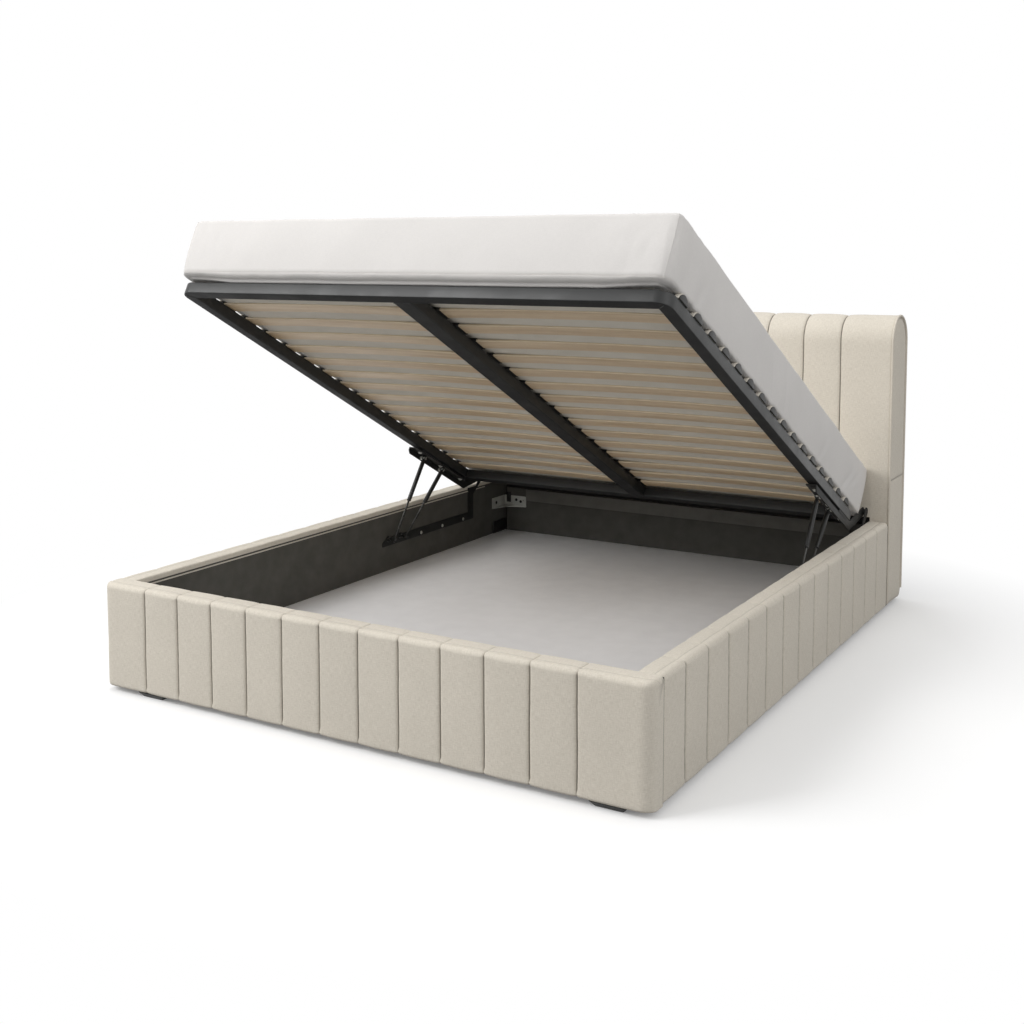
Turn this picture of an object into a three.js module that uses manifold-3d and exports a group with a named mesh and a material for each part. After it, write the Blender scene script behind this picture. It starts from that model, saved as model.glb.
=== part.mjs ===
// Ottoman bed: an upholstered box bed whose mattress platform lifts on gas struts.
// Millimetres, +Z up, +Y towards the headboard, origin under the middle of the bed.
import * as THREE from "three";
import { mergeVertices } from "three/addons/utils/BufferGeometryUtils.js";
import Module from "manifold-3d";

const wasm = await Module();
wasm.setup();

// Clearances
const seat = 0.3;
const overrun = 5;
const cutThrough = 20;
const pinClearance = 0.3;

// Bed box
const bedWidth = 1760;
const boxLength = 2026;
const railTop = 322;
const railDepth = 69;
const footHeight = 15;
const boardThickness = 24;
const boardLift = 4;
const wrapThickness = 16;
const coverEdgeRadius = 28;
const coverInnerRadius = 6;
const coverHemRadius = 4;
const footCornerRadius = 34;
const headEndRadius = 12;

// Sewn channels of the upholstery
const seamDepth = 6;
const topSeamDepth = 3;
const footEndPanel = 180;
const footSeams = 12;
const footSeamShift = -12;
const sideSeamStart = 61;
const sidePanels = 14;
const puffPlaceShares = [0.14, 0.5, 0.86];
const puffDentShares = [0.2, 0, 0.2];
const edgeTurnShares = [0, 0.1, 0.4, 1];

// Headboard
const headboardSetIn = 2;
const headboardHeight = 1059;
const headboardDepth = 193;
const headboardEndPanel = 186;
const headboardSeams = 11;
const headboardEdgeRadius = 14;
const coreDepth = 28;
const coreSideInset = 30;
const coreTopInset = 110;
const headboardArcSteps = 10;
const throatRise = 10;

// Storage floor and head panel
const floorTop = 85;
const floorThickness = 9;
const cleatWidth = 22;
const cleatHeight = 30;
const floorGap = 0.5;
const headPanelThickness = 18;
const headPanelDrop = 50;
const headPanelBottom = 30;
const headPanelSideGap = 11;
const headBandHeight = 50;
const headBandDepth = 8;
const headBandInset = 100;

// Feet
const footWidth = 100;
const footDepth = 60;
const footTaper = 12;
const footFrontOffset = 6;
const footInsets = { left: 128, right: 65 };
const headFootInset = 8;

// Lifting platform frame
const liftAngleDeg = 27.2;
const frameSideGap = 12;
const frameFrontGap = 5.1;
const tubeWidth = 40;
const tubeHeight = 36;
const beamWidth = 60;
const frameCornerRadius = 42;
const tubeBevel = 3;

// Lift hinge
const hingeSetback = 37;
const hingeAboveRail = 37;
const hingeBehindFrame = 150.9;
const hingeAboveFrame = 79.5;
const hingePinRadius = 6;
const hingePinHeadRadius = 9;
const hingePinHead = 2.5;
const hingeSpacerRadius = 10;
const hingeEyeRadius = 16;

// Lift arm under each side tube
const armThickness = 4;
const armInset = 1;
const armDepth = 32;
const armFront = 420;
const armSpacer = 8;
const armSpacerRadius = 8;
const armFlangeWidth = 38;
const armSpacerShares = [0.12, 0.5, 0.88];
const armNoseShare = 0.35;

// Lift plate screwed to each side board
const plateThickness = 4;
const plateStripHeight = 32;
const plateStripDrop = 179;
const plateReach = 709;
const plateTaper = 26;
const postReach = 116;
const postWidth = 38;
const boltRadius = 6;
const boltHead = 3.5;
const boltReaches = [459, 310, 157];
const boltBelowMiddle = 5;
const postBandHeight = 30;
const postBandDrop = 9;
const postRiseStart = 55;

// Gas struts, a the steeper front one and b the one behind it
const strutTubeRadius = 8;
const strutBoreRadius = 4.6;
const strutRodRadius = 4;
const strutEyeRadius = 9;
const strutEyeWidth = 12;
const strutNeckRadius = 5;
const strutNeckLength = 13;
const strutBoreFloor = 24;
const strutTubeChamfer = 1.5;
const studRadius = 5;
const footStudRadius = 6;
const studHead = 2.5;
const studHeadRadius = 8;
const footFlangeRadius = 11;
const footFlange = 3;
const strutInset = 21;
const strutFootDrop = 152;
const strutPivotDrop = 22;
const strutSpecs = {
  a: { along: 332, footReach: 677, tube: 183, rod: 175 },
  b: { along: 193, footReach: 602, tube: 165, rod: 205 },
};

// Sprung slats
const slatCount = 16;
const slatWidth = 53;
const slatThickness = 7;
const slatBow = 6;
const slatSteps = 8;
const slatEndGap = 80;
const slatSeatInset = 12;
const slatMiddleGap = 36;
const capWall = 4;
const capGrip = 20;
const capWidth = 62;
const capHeight = 13;
const capMouth = 8.4;
const capRoot = 1;

// Mattress
const mattressSideInset = 5.5;
const mattressFootOverhang = 34;
const mattressHeadOverhang = 130;
const mattressThickness = 176;
const mattressCrown = 8;
const mattressBulge = 5;
const mattressCornerRadius = 60;
const mattressInnerCorner = 10;
const mattressEdgeRadius = 32;
const mattressCornerSteps = 5;
const mattressSideSteps = 6;
const mattressSideShares = [
  { edge: 1, swell: 1, height: 0 },
  { edge: 0.3, swell: 1, height: 0.02 },
  { edge: 0, swell: 1, height: 0.1 },
  { edge: 0, swell: 0.25, height: 0.35 },
  { edge: 0, swell: 0, height: 0.55 },
  { edge: 0, swell: 1, height: 0.83 },
  { edge: 0.3, swell: 1, height: 0.95 },
  { edge: 1, swell: 1, height: 1 },
];
const mattressTopShares = [
  { inset: 0.3, crown: 0.6 },
  { inset: 0.7, crown: 1 },
];

// Corner brackets between the side boards and the head panel
const bracketThickness = 3;
const bracketHeight = 46;
const bracketDrop = 130;
const bracketHeadWing = 108;
const bracketSideWing = 107;
const bracketGusset = 30;
const bracketNotch = 14;
const bracketNotchPlace = 50;
const bracketNotchFloor = 16;
const bracketHoleRadius = 3.5;
const bracketHolePlaceShare = 0.3;

// Derived places
const halfWidth = bedWidth / 2;
const innerHalf = halfWidth - railDepth;
const boardOuterHalf = innerHalf + boardThickness;
const boardTop = railTop - wrapThickness;
const boardBottom = footHeight + boardLift;
const totalLength = boxLength + headboardDepth;
const headboardWidth = bedWidth - 2 * headboardSetIn;
const footPanelPitch = (bedWidth - 2 * footEndPanel) / (footSeams - 1);
const headboardPanelPitch = (headboardWidth - 2 * headboardEndPanel) / (headboardSeams - 1);
const hingeY = boxLength - hingeSetback;
const hingeHeight = railTop + hingeAboveRail;
const plateStripBottom = hingeHeight - plateStripDrop;
const headPanelTop = railTop - headPanelDrop;
const bracketBottom = railTop - bracketDrop;
const liftAngle = THREE.MathUtils.degToRad(liftAngleDeg);
const frameHalf = innerHalf - frameSideGap;
const frameLength = hingeY - hingeBehindFrame - railDepth - frameFrontGap;
const slatPitch = (frameLength - 2 * slatEndGap) / (slatCount - 1);
const mattressWidth = 2 * (frameHalf - mattressSideInset);
const armOuterHalf = frameHalf - armInset;
const armInnerHalf = armOuterHalf - armThickness;
const plateOuterHalf = innerHalf - seat;
const plateInnerHalf = plateOuterHalf - plateThickness;
const coreFront = totalLength - coreDepth;
const panelFace = coreFront - seat - headPanelThickness;
const plateTip = hingeY - plateReach;
const postFront = hingeY - postReach;
const sides = { left: -1, right: 1 };

// Finishes
const finishes = {
  fabric: { color: 0xcdc5b8, roughness: 0.95, metalness: 0 },
  lining: { color: 0x34322e, roughness: 0.9, metalness: 0 },
  panel: { color: 0xbebdbd, roughness: 0.6, metalness: 0 },
  plastic: { color: 0x141414, roughness: 0.5, metalness: 0 },
  steel: { color: 0x33342f, roughness: 0.5, metalness: 0.6 },
  zinc: { color: 0x8d8d88, roughness: 0.4, metalness: 0.9 },
  chrome: { color: 0xb8b8b6, roughness: 0.2, metalness: 1 },
  birch: { color: 0xc4a982, roughness: 0.6, metalness: 0 },
  ticking: { color: 0xe4e2e0, roughness: 0.95, metalness: 0 },
};

const bed = new THREE.Group();
bed.position.set(0, -totalLength / 2, 0);
const platform = new THREE.Group();
bed.add(platform);

function addPart(parent, name, geometry, finish) {
  const part = new THREE.Mesh(geometry, new THREE.MeshStandardMaterial(finishes[finish]));
  part.name = name;
  parent.add(part);
  return part;
}

// Solids and plain shapes
function solidOf(geometry) {
  const plain = geometry.clone();
  plain.deleteAttribute("normal");
  plain.deleteAttribute("uv");
  const merged = mergeVertices(plain);
  const mesh = new wasm.Mesh({
    numProp: 3,
    vertProperties: new Float32Array(merged.attributes.position.array),
    triVerts: new Uint32Array(merged.index.array),
  });
  return new wasm.Manifold(mesh);
}

function geometryOf(solid) {
  const mesh = solid.getMesh();
  const geometry = new THREE.BufferGeometry();
  geometry.setAttribute("position", new THREE.BufferAttribute(mesh.vertProperties, 3));
  geometry.setIndex(new THREE.BufferAttribute(mesh.triVerts, 1));
  return geometry;
}

function unionOf(solids) {
  return solids.reduce((whole, piece) => whole.add(piece));
}

// Box between two opposite corners, given in any order
function block(a, b) {
  const size = a.map((value, axis) => Math.abs(b[axis] - value));
  const geometry = new THREE.BoxGeometry(...size);
  geometry.translate(...a.map((value, axis) => (value + b[axis]) / 2));
  return geometry;
}

function rodAlongX(radius, fromX, toX, y, z, steps = 16) {
  const geometry = new THREE.CylinderGeometry(radius, radius, Math.abs(toX - fromX), steps);
  geometry.rotateZ(Math.PI / 2);
  geometry.translate((fromX + toX) / 2, y, z);
  return geometry;
}

// Plate cut from an outline in Y and Z, standing between two X planes
function plateAcrossX(shape, fromX, toX, curveSegments = 6) {
  const depth = Math.abs(toX - fromX);
  const geometry = new THREE.ExtrudeGeometry(shape, { depth, bevelEnabled: false, curveSegments });
  geometry.rotateY(Math.PI / 2);
  geometry.rotateX(Math.PI / 2);
  geometry.translate(Math.min(fromX, toX), 0, 0);
  return geometry;
}

// Skin over a row of closed rings with the same number of points, fanned shut at both ends
function loft(rings) {
  const count = rings[0].length;
  const points = rings.flat();
  const faces = [];
  for (let ring = 0; ring + 1 < rings.length; ring += 1) {
    for (let point = 0; point < count; point += 1) {
      const next = (point + 1) % count;
      const a = ring * count + point;
      const b = ring * count + next;
      faces.push(a, b, a + count, b, b + count, a + count);
    }
  }
  for (const [ring, turn] of [[0, 1], [rings.length - 1, 0]]) {
    const middle = new THREE.Vector3();
    rings[ring].forEach((point) => middle.add(point));
    points.push(middle.divideScalar(count));
    for (let point = 0; point < count; point += 1) {
      const a = ring * count + point;
      const b = ring * count + ((point + 1) % count);
      faces.push(...(turn ? [b, a] : [a, b]), points.length - 1);
    }
  }
  const geometry = new THREE.BufferGeometry();
  const flat = points.flatMap((point) => [point.x, point.y, point.z]);
  geometry.setAttribute("position", new THREE.Float32BufferAttribute(flat, 3));
  geometry.setIndex(signedVolume(points, faces) < 0 ? faces.reverse() : faces);
  return geometry;
}

function signedVolume(points, faces) {
  let volume = 0;
  for (let face = 0; face < faces.length; face += 3) {
    const [a, b, c] = [points[faces[face]], points[faces[face + 1]], points[faces[face + 2]]];
    volume += a.dot(new THREE.Vector3().crossVectors(b, c));
  }
  return volume;
}

// Places along a channelled pad, each with how far its seam draws it in (1 at the stitch)
function channelStations(start, end, seams, edgeTurn) {
  const marks = [start, ...seams.filter((mark) => mark > start && mark < end), end];
  const stations = edgeTurnShares.map((share) => ({ at: start + share * edgeTurn, dent: 0 }));
  for (let panel = 0; panel + 1 < marks.length; panel += 1) {
    const [from, to] = [marks[panel], marks[panel + 1]];
    if (panel > 0) stations.push({ at: from, dent: 1 });
    puffPlaceShares.forEach((share, index) => {
      const at = from + share * (to - from);
      const open = at - start > edgeTurn && end - at > edgeTurn;
      if (open) stations.push({ at, dent: puffDentShares[index] });
    });
  }
  edgeTurnShares.toReversed().forEach((share) => stations.push({ at: end - share * edgeTurn, dent: 0 }));
  return stations;
}

// How far a rounded edge of the given radius has dropped at a distance from that edge
function roundDrop(distance, radius) {
  const reach = Math.max(radius - distance, 0);
  return radius - Math.sqrt(Math.max(radius * radius - reach * reach, 0));
}

// Padded rail section: from the hem up the outer face, over the top and down the inner face
function railSection(face, sink, topSink, edgeDrop) {
  const bottom = footHeight;
  const turn = coverEdgeRadius;
  const section = [
    [face + sink + coverHemRadius, bottom],
    [face + sink, bottom + coverHemRadius],
    [face + sink, (bottom + railTop) / 2],
    [face + sink, railTop - turn],
  ];
  for (const angle of [Math.PI / 6, Math.PI / 3, Math.PI / 2]) {
    const inset = turn * (1 - Math.cos(angle));
    const settle = THREE.MathUtils.lerp(sink, 0, Math.sin(angle));
    section.push([face + settle + inset, railTop - turn * (1 - Math.sin(angle)) - topSink * Math.sin(angle)]);
  }
  section.push([railDepth - coverInnerRadius, railTop - topSink]);
  section.push([railDepth, railTop - coverInnerRadius]);
  section.push([railDepth, bottom]);
  return section.map(([depth, height]) => [depth, Math.min(height, railTop - edgeDrop)]);
}

function padSink(dent) {
  return seamDepth * dent;
}

// Foot rail: one padded cover round both foot corners, over a straight board
function footRail() {
  const seams = Array.from({ length: footSeams }, (_, seam) => {
    return footSeamShift + (seam - (footSeams - 1) / 2) * footPanelPitch;
  });
  const rings = channelStations(-halfWidth, halfWidth, seams, footCornerRadius).map(({ at, dent }) => {
    const toEnd = halfWidth - Math.abs(at);
    const face = roundDrop(toEnd, footCornerRadius);
    const section = railSection(face, padSink(dent), topSeamDepth * dent, roundDrop(toEnd, coverEdgeRadius));
    return section.map(([depth, height]) => new THREE.Vector3(at, depth, height));
  });
  const hollow = block(
    [-boardOuterHalf - seat, railDepth - boardThickness - seat, -overrun],
    [boardOuterHalf + seat, railDepth + overrun, boardTop + seat],
  );
  addPart(bed, "foot_rail_cover", geometryOf(solidOf(loft(rings)).subtract(solidOf(hollow))), "fabric");
  const board = block(
    [-boardOuterHalf, railDepth - boardThickness, boardBottom],
    [boardOuterHalf, railDepth, boardTop],
  );
  addPart(bed, "foot_rail_board", board, "lining");
}

// Side rails: channelled covers over boards that carry the storage floor on a cleat
function sideRail(name, side) {
  const start = railDepth + seat;
  const end = boxLength - seat;
  const pitch = (boxLength - sideSeamStart) / sidePanels;
  const seams = Array.from({ length: sidePanels - 1 }, (_, seam) => sideSeamStart + (seam + 1) * pitch);
  const rings = channelStations(start, end, seams, headEndRadius).map(({ at, dent }) => {
    const face = roundDrop(end - at, headEndRadius);
    const section = railSection(face, padSink(dent), topSeamDepth * dent, roundDrop(end - at, headEndRadius));
    return section.map(([depth, height]) => new THREE.Vector3(side * (halfWidth - depth), at, height));
  });
  const hollow = block(
    [side * (innerHalf - overrun), -overrun, -overrun],
    [side * (boardOuterHalf + seat), boxLength + overrun, boardTop + seat],
  );
  const cover = geometryOf(solidOf(loft(rings)).subtract(solidOf(hollow)));
  addPart(bed, `${name}_rail_cover`, cover, "fabric");
  const board = block(
    [side * innerHalf, railDepth + seat, boardBottom],
    [side * boardOuterHalf, coreFront - seat, boardTop],
  );
  const cleatTop = floorTop - floorThickness - seat;
  const cleat = block(
    [side * (innerHalf - cleatWidth), railDepth + seat, cleatTop - cleatHeight],
    [side * (innerHalf + overrun), panelFace - seat, cleatTop],
  );
  addPart(bed, `${name}_rail_board`, geometryOf(solidOf(board).add(solidOf(cleat))), "lining");
}

// Headboard: a channelled pad on a board that closes its back, open below for the storage box
function headboard() {
  const half = headboardWidth / 2;
  const radius = headboardDepth / 2;
  const seams = Array.from({ length: headboardSeams }, (_, seam) => {
    return (seam - (headboardSeams - 1) / 2) * headboardPanelPitch;
  });
  const rings = channelStations(-half, half, seams, headboardEdgeRadius).map(({ at, dent }) => {
    const drop = roundDrop(half - Math.abs(at), headboardEdgeRadius);
    const ring = [];
    const place = (inwards, angle, height) => {
      const shrink = radius - drop - inwards;
      const y = boxLength + radius - shrink * Math.cos(angle);
      ring.push(new THREE.Vector3(at, y, height + shrink * Math.sin(angle)));
    };
    place(padSink(dent), 0, footHeight);
    place(padSink(dent), 0, headboardHeight / 2);
    for (let step = 0; step <= headboardArcSteps; step += 1) {
      const angle = (Math.PI * step) / headboardArcSteps;
      const fade = Math.max(Math.cos(angle / 2), 0);
      place(padSink(dent) * fade, angle, headboardHeight - radius);
    }
    place(0, Math.PI, footHeight);
    return ring;
  });
  const coreHalf = half - coreSideInset;
  const coreTop = headboardHeight - coreTopInset;
  const slotHalf = boardOuterHalf + seat;
  const seatHalf = coreHalf + seat;
  const front = boxLength - overrun;
  const hollows = [
    block([-seatHalf, coreFront - seat, -overrun], [seatHalf, totalLength + overrun, coreTop + seat]),
    block([-slotHalf, front, -overrun], [slotHalf, coreFront, boardTop + seat]),
    block([-innerHalf, front, -overrun], [innerHalf, coreFront, railTop + throatRise]),
  ];
  const pad = solidOf(loft(rings)).subtract(unionOf(hollows.map(solidOf)));
  addPart(bed, "headboard_pad", geometryOf(pad), "fabric");
  const core = block([-coreHalf, coreFront, footHeight], [coreHalf, coreFront + coreDepth, coreTop]);
  addPart(bed, "headboard_board", core, "lining");
}

// Storage floor, and the head panel with its thicker top band
function storageBox() {
  const floor = block(
    [-innerHalf + floorGap, railDepth + floorGap, floorTop - floorThickness],
    [innerHalf - floorGap, panelFace - floorGap, floorTop],
  );
  addPart(bed, "base_board", floor, "panel");
  const panelHalf = innerHalf - headPanelSideGap;
  const bandHalf = panelHalf - headBandInset;
  const panel = block([-panelHalf, panelFace, headPanelBottom], [panelHalf, coreFront - seat, headPanelTop]);
  const band = block(
    [-bandHalf, panelFace - headBandDepth, headPanelTop - headBandHeight],
    [bandHalf, panelFace + overrun, headPanelTop],
  );
  addPart(bed, "head_panel", geometryOf(solidOf(panel).add(solidOf(band))), "lining");
}

// Feet: low moulded blocks that narrow towards the floor
function foot(name, x, y) {
  const rings = [[0, footTaper], [footHeight - seat, 0]].map(([height, taper]) => {
    const [halfX, halfY] = [footWidth / 2 - taper, footDepth / 2 - taper];
    const corners = [[-halfX, -halfY], [halfX, -halfY], [halfX, halfY], [-halfX, halfY]];
    return corners.map(([across, along]) => new THREE.Vector3(x + across, y + along, height));
  });
  addPart(bed, name, loft(rings), "plastic");
}

function feet() {
  for (const [name, side] of Object.entries(sides)) {
    const frontX = side * (halfWidth - footInsets[name] - footWidth / 2);
    foot(`foot_front_${name}`, frontX, footFrontOffset + footDepth / 2);
    const headX = side * (headboardWidth / 2 - headFootInset - footWidth / 2);
    foot(`foot_head_${name}`, headX, boxLength + headboardDepth / 2);
  }
}

// Pressed angle brackets in the two head corners of the storage box
function cornerBracket(name, side) {
  const outer = side * (innerHalf - seat);
  const face = panelFace - seat;
  const top = bracketBottom + bracketHeight;
  const inner = outer - side * bracketHeadWing;
  const headWing = block([outer, face - bracketThickness, bracketBottom], [inner, face, top]);
  const sideWing = block(
    [outer, face - bracketSideWing, bracketBottom],
    [outer - side * bracketThickness, face, top],
  );
  const gusset = new THREE.Shape();
  gusset.moveTo(outer, face);
  gusset.lineTo(inner, face);
  gusset.lineTo(inner, face - bracketThickness);
  gusset.lineTo(outer - side * bracketGusset, face - bracketGusset);
  gusset.lineTo(outer - side * bracketThickness, face - bracketSideWing);
  gusset.lineTo(outer, face - bracketSideWing);
  const lip = new THREE.ExtrudeGeometry(gusset, { depth: bracketThickness, bevelEnabled: false });
  lip.translate(0, 0, bracketBottom);
  const notchX = outer - side * bracketNotchPlace;
  const notch = block(
    [notchX - bracketNotch / 2, face - bracketThickness - overrun, bracketBottom + bracketNotchFloor],
    [notchX + bracketNotch / 2, face + overrun, top + overrun],
  );
  const hole = new THREE.CylinderGeometry(bracketHoleRadius, bracketHoleRadius, cutThrough, 10);
  const holeX = inner + side * bracketHeadWing * bracketHolePlaceShare;
  hole.translate(holeX, face, bracketBottom + bracketHeight / 2);
  const sideHole = rodAlongX(
    bracketHoleRadius, outer - cutThrough, outer + cutThrough,
    face - bracketSideWing * (1 - bracketHolePlaceShare), bracketBottom + bracketHeight / 2, 10,
  );
  const plates = unionOf([headWing, sideWing, lip].map(solidOf));
  const cuts = unionOf([notch, hole, sideHole].map(solidOf));
  addPart(bed, `corner_bracket_${name}`, geometryOf(plates.subtract(cuts)), "zinc");
}

// Lift plate: a strip on the side board, a post and a hinge arm that carries the pin
function liftPlate(name, side) {
  const stripTop = plateStripBottom + plateStripHeight;
  const bandTop = railTop - postBandDrop;
  const outline = new THREE.Shape();
  outline.moveTo(plateTip, plateStripBottom);
  outline.lineTo(postFront + postWidth, plateStripBottom);
  outline.lineTo(postFront + postWidth, bandTop - postBandHeight);
  outline.absarc(hingeY, hingeHeight, hingeEyeRadius, -Math.PI / 3, Math.PI * 0.7, false);
  outline.lineTo(hingeY - postRiseStart, bandTop);
  outline.lineTo(postFront, bandTop);
  outline.lineTo(postFront, stripTop);
  outline.lineTo(plateTip + plateTaper, stripTop);
  outline.lineTo(plateTip, plateStripBottom + plateStripHeight / 2);
  const inner = side * plateInnerHalf;
  const plate = plateAcrossX(outline, side * plateOuterHalf, inner);
  const armFace = side * (armOuterHalf + seat);
  const headOuter = side * (armInnerHalf - seat);
  const headInner = side * (armInnerHalf - seat - hingePinHead);
  const root = inner + (side * plateThickness) / 2;
  const pieces = [
    plate,
    rodAlongX(hingeSpacerRadius, root, armFace, hingeY, hingeHeight),
    rodAlongX(hingePinRadius, root, headOuter - side * hingePinHead / 2, hingeY, hingeHeight),
    rodAlongX(hingePinHeadRadius, headOuter, headInner, hingeY, hingeHeight),
  ];
  const boltZ = plateStripBottom + plateStripHeight / 2 - boltBelowMiddle;
  for (const reach of boltReaches) {
    pieces.push(rodAlongX(boltRadius, root, inner - side * boltHead, hingeY - reach, boltZ, 6));
  }
  addPart(bed, `lift_plate_${name}`, geometryOf(unionOf(pieces.map(solidOf))), "steel");
}

// Platform frame: welded rectangular tube with a middle beam, and a lift arm under each side
function platformFrame() {
  const bevel = tubeBevel;
  const outline = new THREE.Shape();
  const x = frameHalf - bevel;
  const foot = -frameLength + bevel;
  const head = -bevel;
  const r = frameCornerRadius - bevel;
  outline.absarc(x - r, foot + r, r, -Math.PI / 2, 0, false);
  outline.lineTo(x, head);
  outline.lineTo(-x, head);
  outline.absarc(-x + r, foot + r, r, Math.PI, Math.PI * 1.5, false);
  const tubes = new THREE.ExtrudeGeometry(outline, {
    depth: tubeHeight - bevel * 2,
    bevelEnabled: true,
    bevelThickness: bevel,
    bevelSize: bevel,
    bevelSegments: 2,
    curveSegments: 7,
  });
  tubes.translate(0, 0, bevel);
  const windows = [-1, 1].map((side) => block(
    [(side * beamWidth) / 2, -frameLength + tubeWidth, -overrun],
    [side * (frameHalf - tubeWidth), -tubeWidth, tubeHeight + overrun],
  ));
  const pieces = slatCaps();
  const holes = slatPockets();
  for (const side of [-1, 1]) {
    const { plates, hole } = liftArm(side);
    pieces.push(...plates);
    holes.push(hole);
  }
  const welded = solidOf(tubes).subtract(unionOf(windows.map(solidOf)));
  const whole = welded.add(unionOf(pieces.map(solidOf))).subtract(unionOf(holes.map(solidOf)));
  addPart(platform, "platform_frame", geometryOf(whole), "steel");
}

function liftArm(side) {
  const flangeTop = -armSpacer;
  const nose = armDepth * armNoseShare;
  const arm = new THREE.Shape();
  arm.moveTo(-armFront, flangeTop);
  arm.lineTo(-armFront, -armDepth + nose);
  arm.lineTo(-armFront + nose, -armDepth);
  arm.lineTo(hingeEyeRadius, -armDepth);
  arm.absarc(hingeBehindFrame, hingeAboveFrame, hingeEyeRadius, -Math.PI / 3, Math.PI * 0.7, false);
  arm.lineTo(hingeEyeRadius, flangeTop);
  const outer = side * armOuterHalf;
  const inner = side * armInnerHalf;
  const plates = [
    plateAcrossX(arm, outer, inner),
    block(
      [outer, -armFront, flangeTop - armThickness],
      [outer - side * armFlangeWidth, -tubeWidth, flangeTop],
    ),
  ];
  for (const share of armSpacerShares) {
    const boss = new THREE.CylinderGeometry(armSpacerRadius, armSpacerRadius, armSpacer + overrun, 12);
    boss.rotateX(Math.PI / 2);
    boss.translate(outer - (side * armFlangeWidth) / 2, -armFront * share, -armSpacer / 2);
    plates.push(boss);
  }
  for (const spec of Object.values(strutSpecs)) {
    const eyeInner = side * (frameHalf - strutInset - strutEyeWidth / 2 - seat);
    const [y, z] = [-spec.along, -strutPivotDrop];
    const stud = rodAlongX(studRadius, (outer + inner) / 2, eyeInner, y, z);
    const head = rodAlongX(studHeadRadius, eyeInner, eyeInner - side * studHead, y, z);
    const collarEnd = side * (frameHalf - strutInset + strutEyeWidth / 2 + seat);
    const collar = rodAlongX(footStudRadius, (outer + inner) / 2, collarEnd, y, z);
    plates.push(stud, head, collar);
  }
  const hole = rodAlongX(
    hingePinRadius + pinClearance, outer + side * overrun, inner - side * overrun,
    hingeBehindFrame, hingeAboveFrame,
  );
  return { plates, hole };
}

// Moulded caps along the tubes and the beam, and the pockets that take the slat ends
function slatCaps() {
  const outerEnd = frameHalf - slatSeatInset + capWall;
  const innerEnd = slatMiddleGap / 2 + capGrip;
  const caps = [];
  for (const along of slatPlaces()) {
    const [front, back] = [along - capWidth / 2, along + capWidth / 2];
    const [low, high] = [tubeHeight - capRoot, tubeHeight + capHeight];
    for (const side of [-1, 1]) {
      caps.push(block([side * outerEnd, front, low], [side * (outerEnd - capWall - capGrip), back, high]));
    }
    caps.push(block([-innerEnd, front, low], [innerEnd, back, high]));
  }
  return caps;
}

function slatPockets() {
  const outerEnd = frameHalf - slatSeatInset + seat;
  const innerEnd = slatMiddleGap / 2 - seat;
  const pockets = [];
  for (const along of slatPlaces()) {
    const [front, back] = [along - slatWidth / 2 - seat, along + slatWidth / 2 + seat];
    for (const side of [-1, 1]) {
      const inner = [side * innerEnd, front, tubeHeight];
      pockets.push(block(inner, [side * outerEnd, back, tubeHeight + capMouth]));
    }
  }
  return pockets;
}

function slatPlaces() {
  return Array.from({ length: slatCount }, (_, index) => -slatEndGap - slatPitch * (slatCount - 1 - index));
}

// One slat, bowed up towards the mattress between its two ends
function slat(fromX, toX, along) {
  const rings = [];
  for (let step = 0; step <= slatSteps; step += 1) {
    const share = step / slatSteps;
    const x = THREE.MathUtils.lerp(fromX, toX, share);
    const lift = tubeHeight + seat + slatBow * (1 - (2 * share - 1) ** 2);
    rings.push([
      new THREE.Vector3(x, along - slatWidth / 2, lift),
      new THREE.Vector3(x, along + slatWidth / 2, lift),
      new THREE.Vector3(x, along + slatWidth / 2, lift + slatThickness),
      new THREE.Vector3(x, along - slatWidth / 2, lift + slatThickness),
    ]);
  }
  return loft(rings);
}

function slats() {
  for (const [name, side] of Object.entries(sides)) {
    slatPlaces().forEach((along, index) => {
      const geometry = slat((side * slatMiddleGap) / 2, side * (frameHalf - slatSeatInset), along);
      addPart(platform, `slat_${name}_${String(index + 1).padStart(2, "0")}`, geometry, "birch");
    });
  }
}

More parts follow.
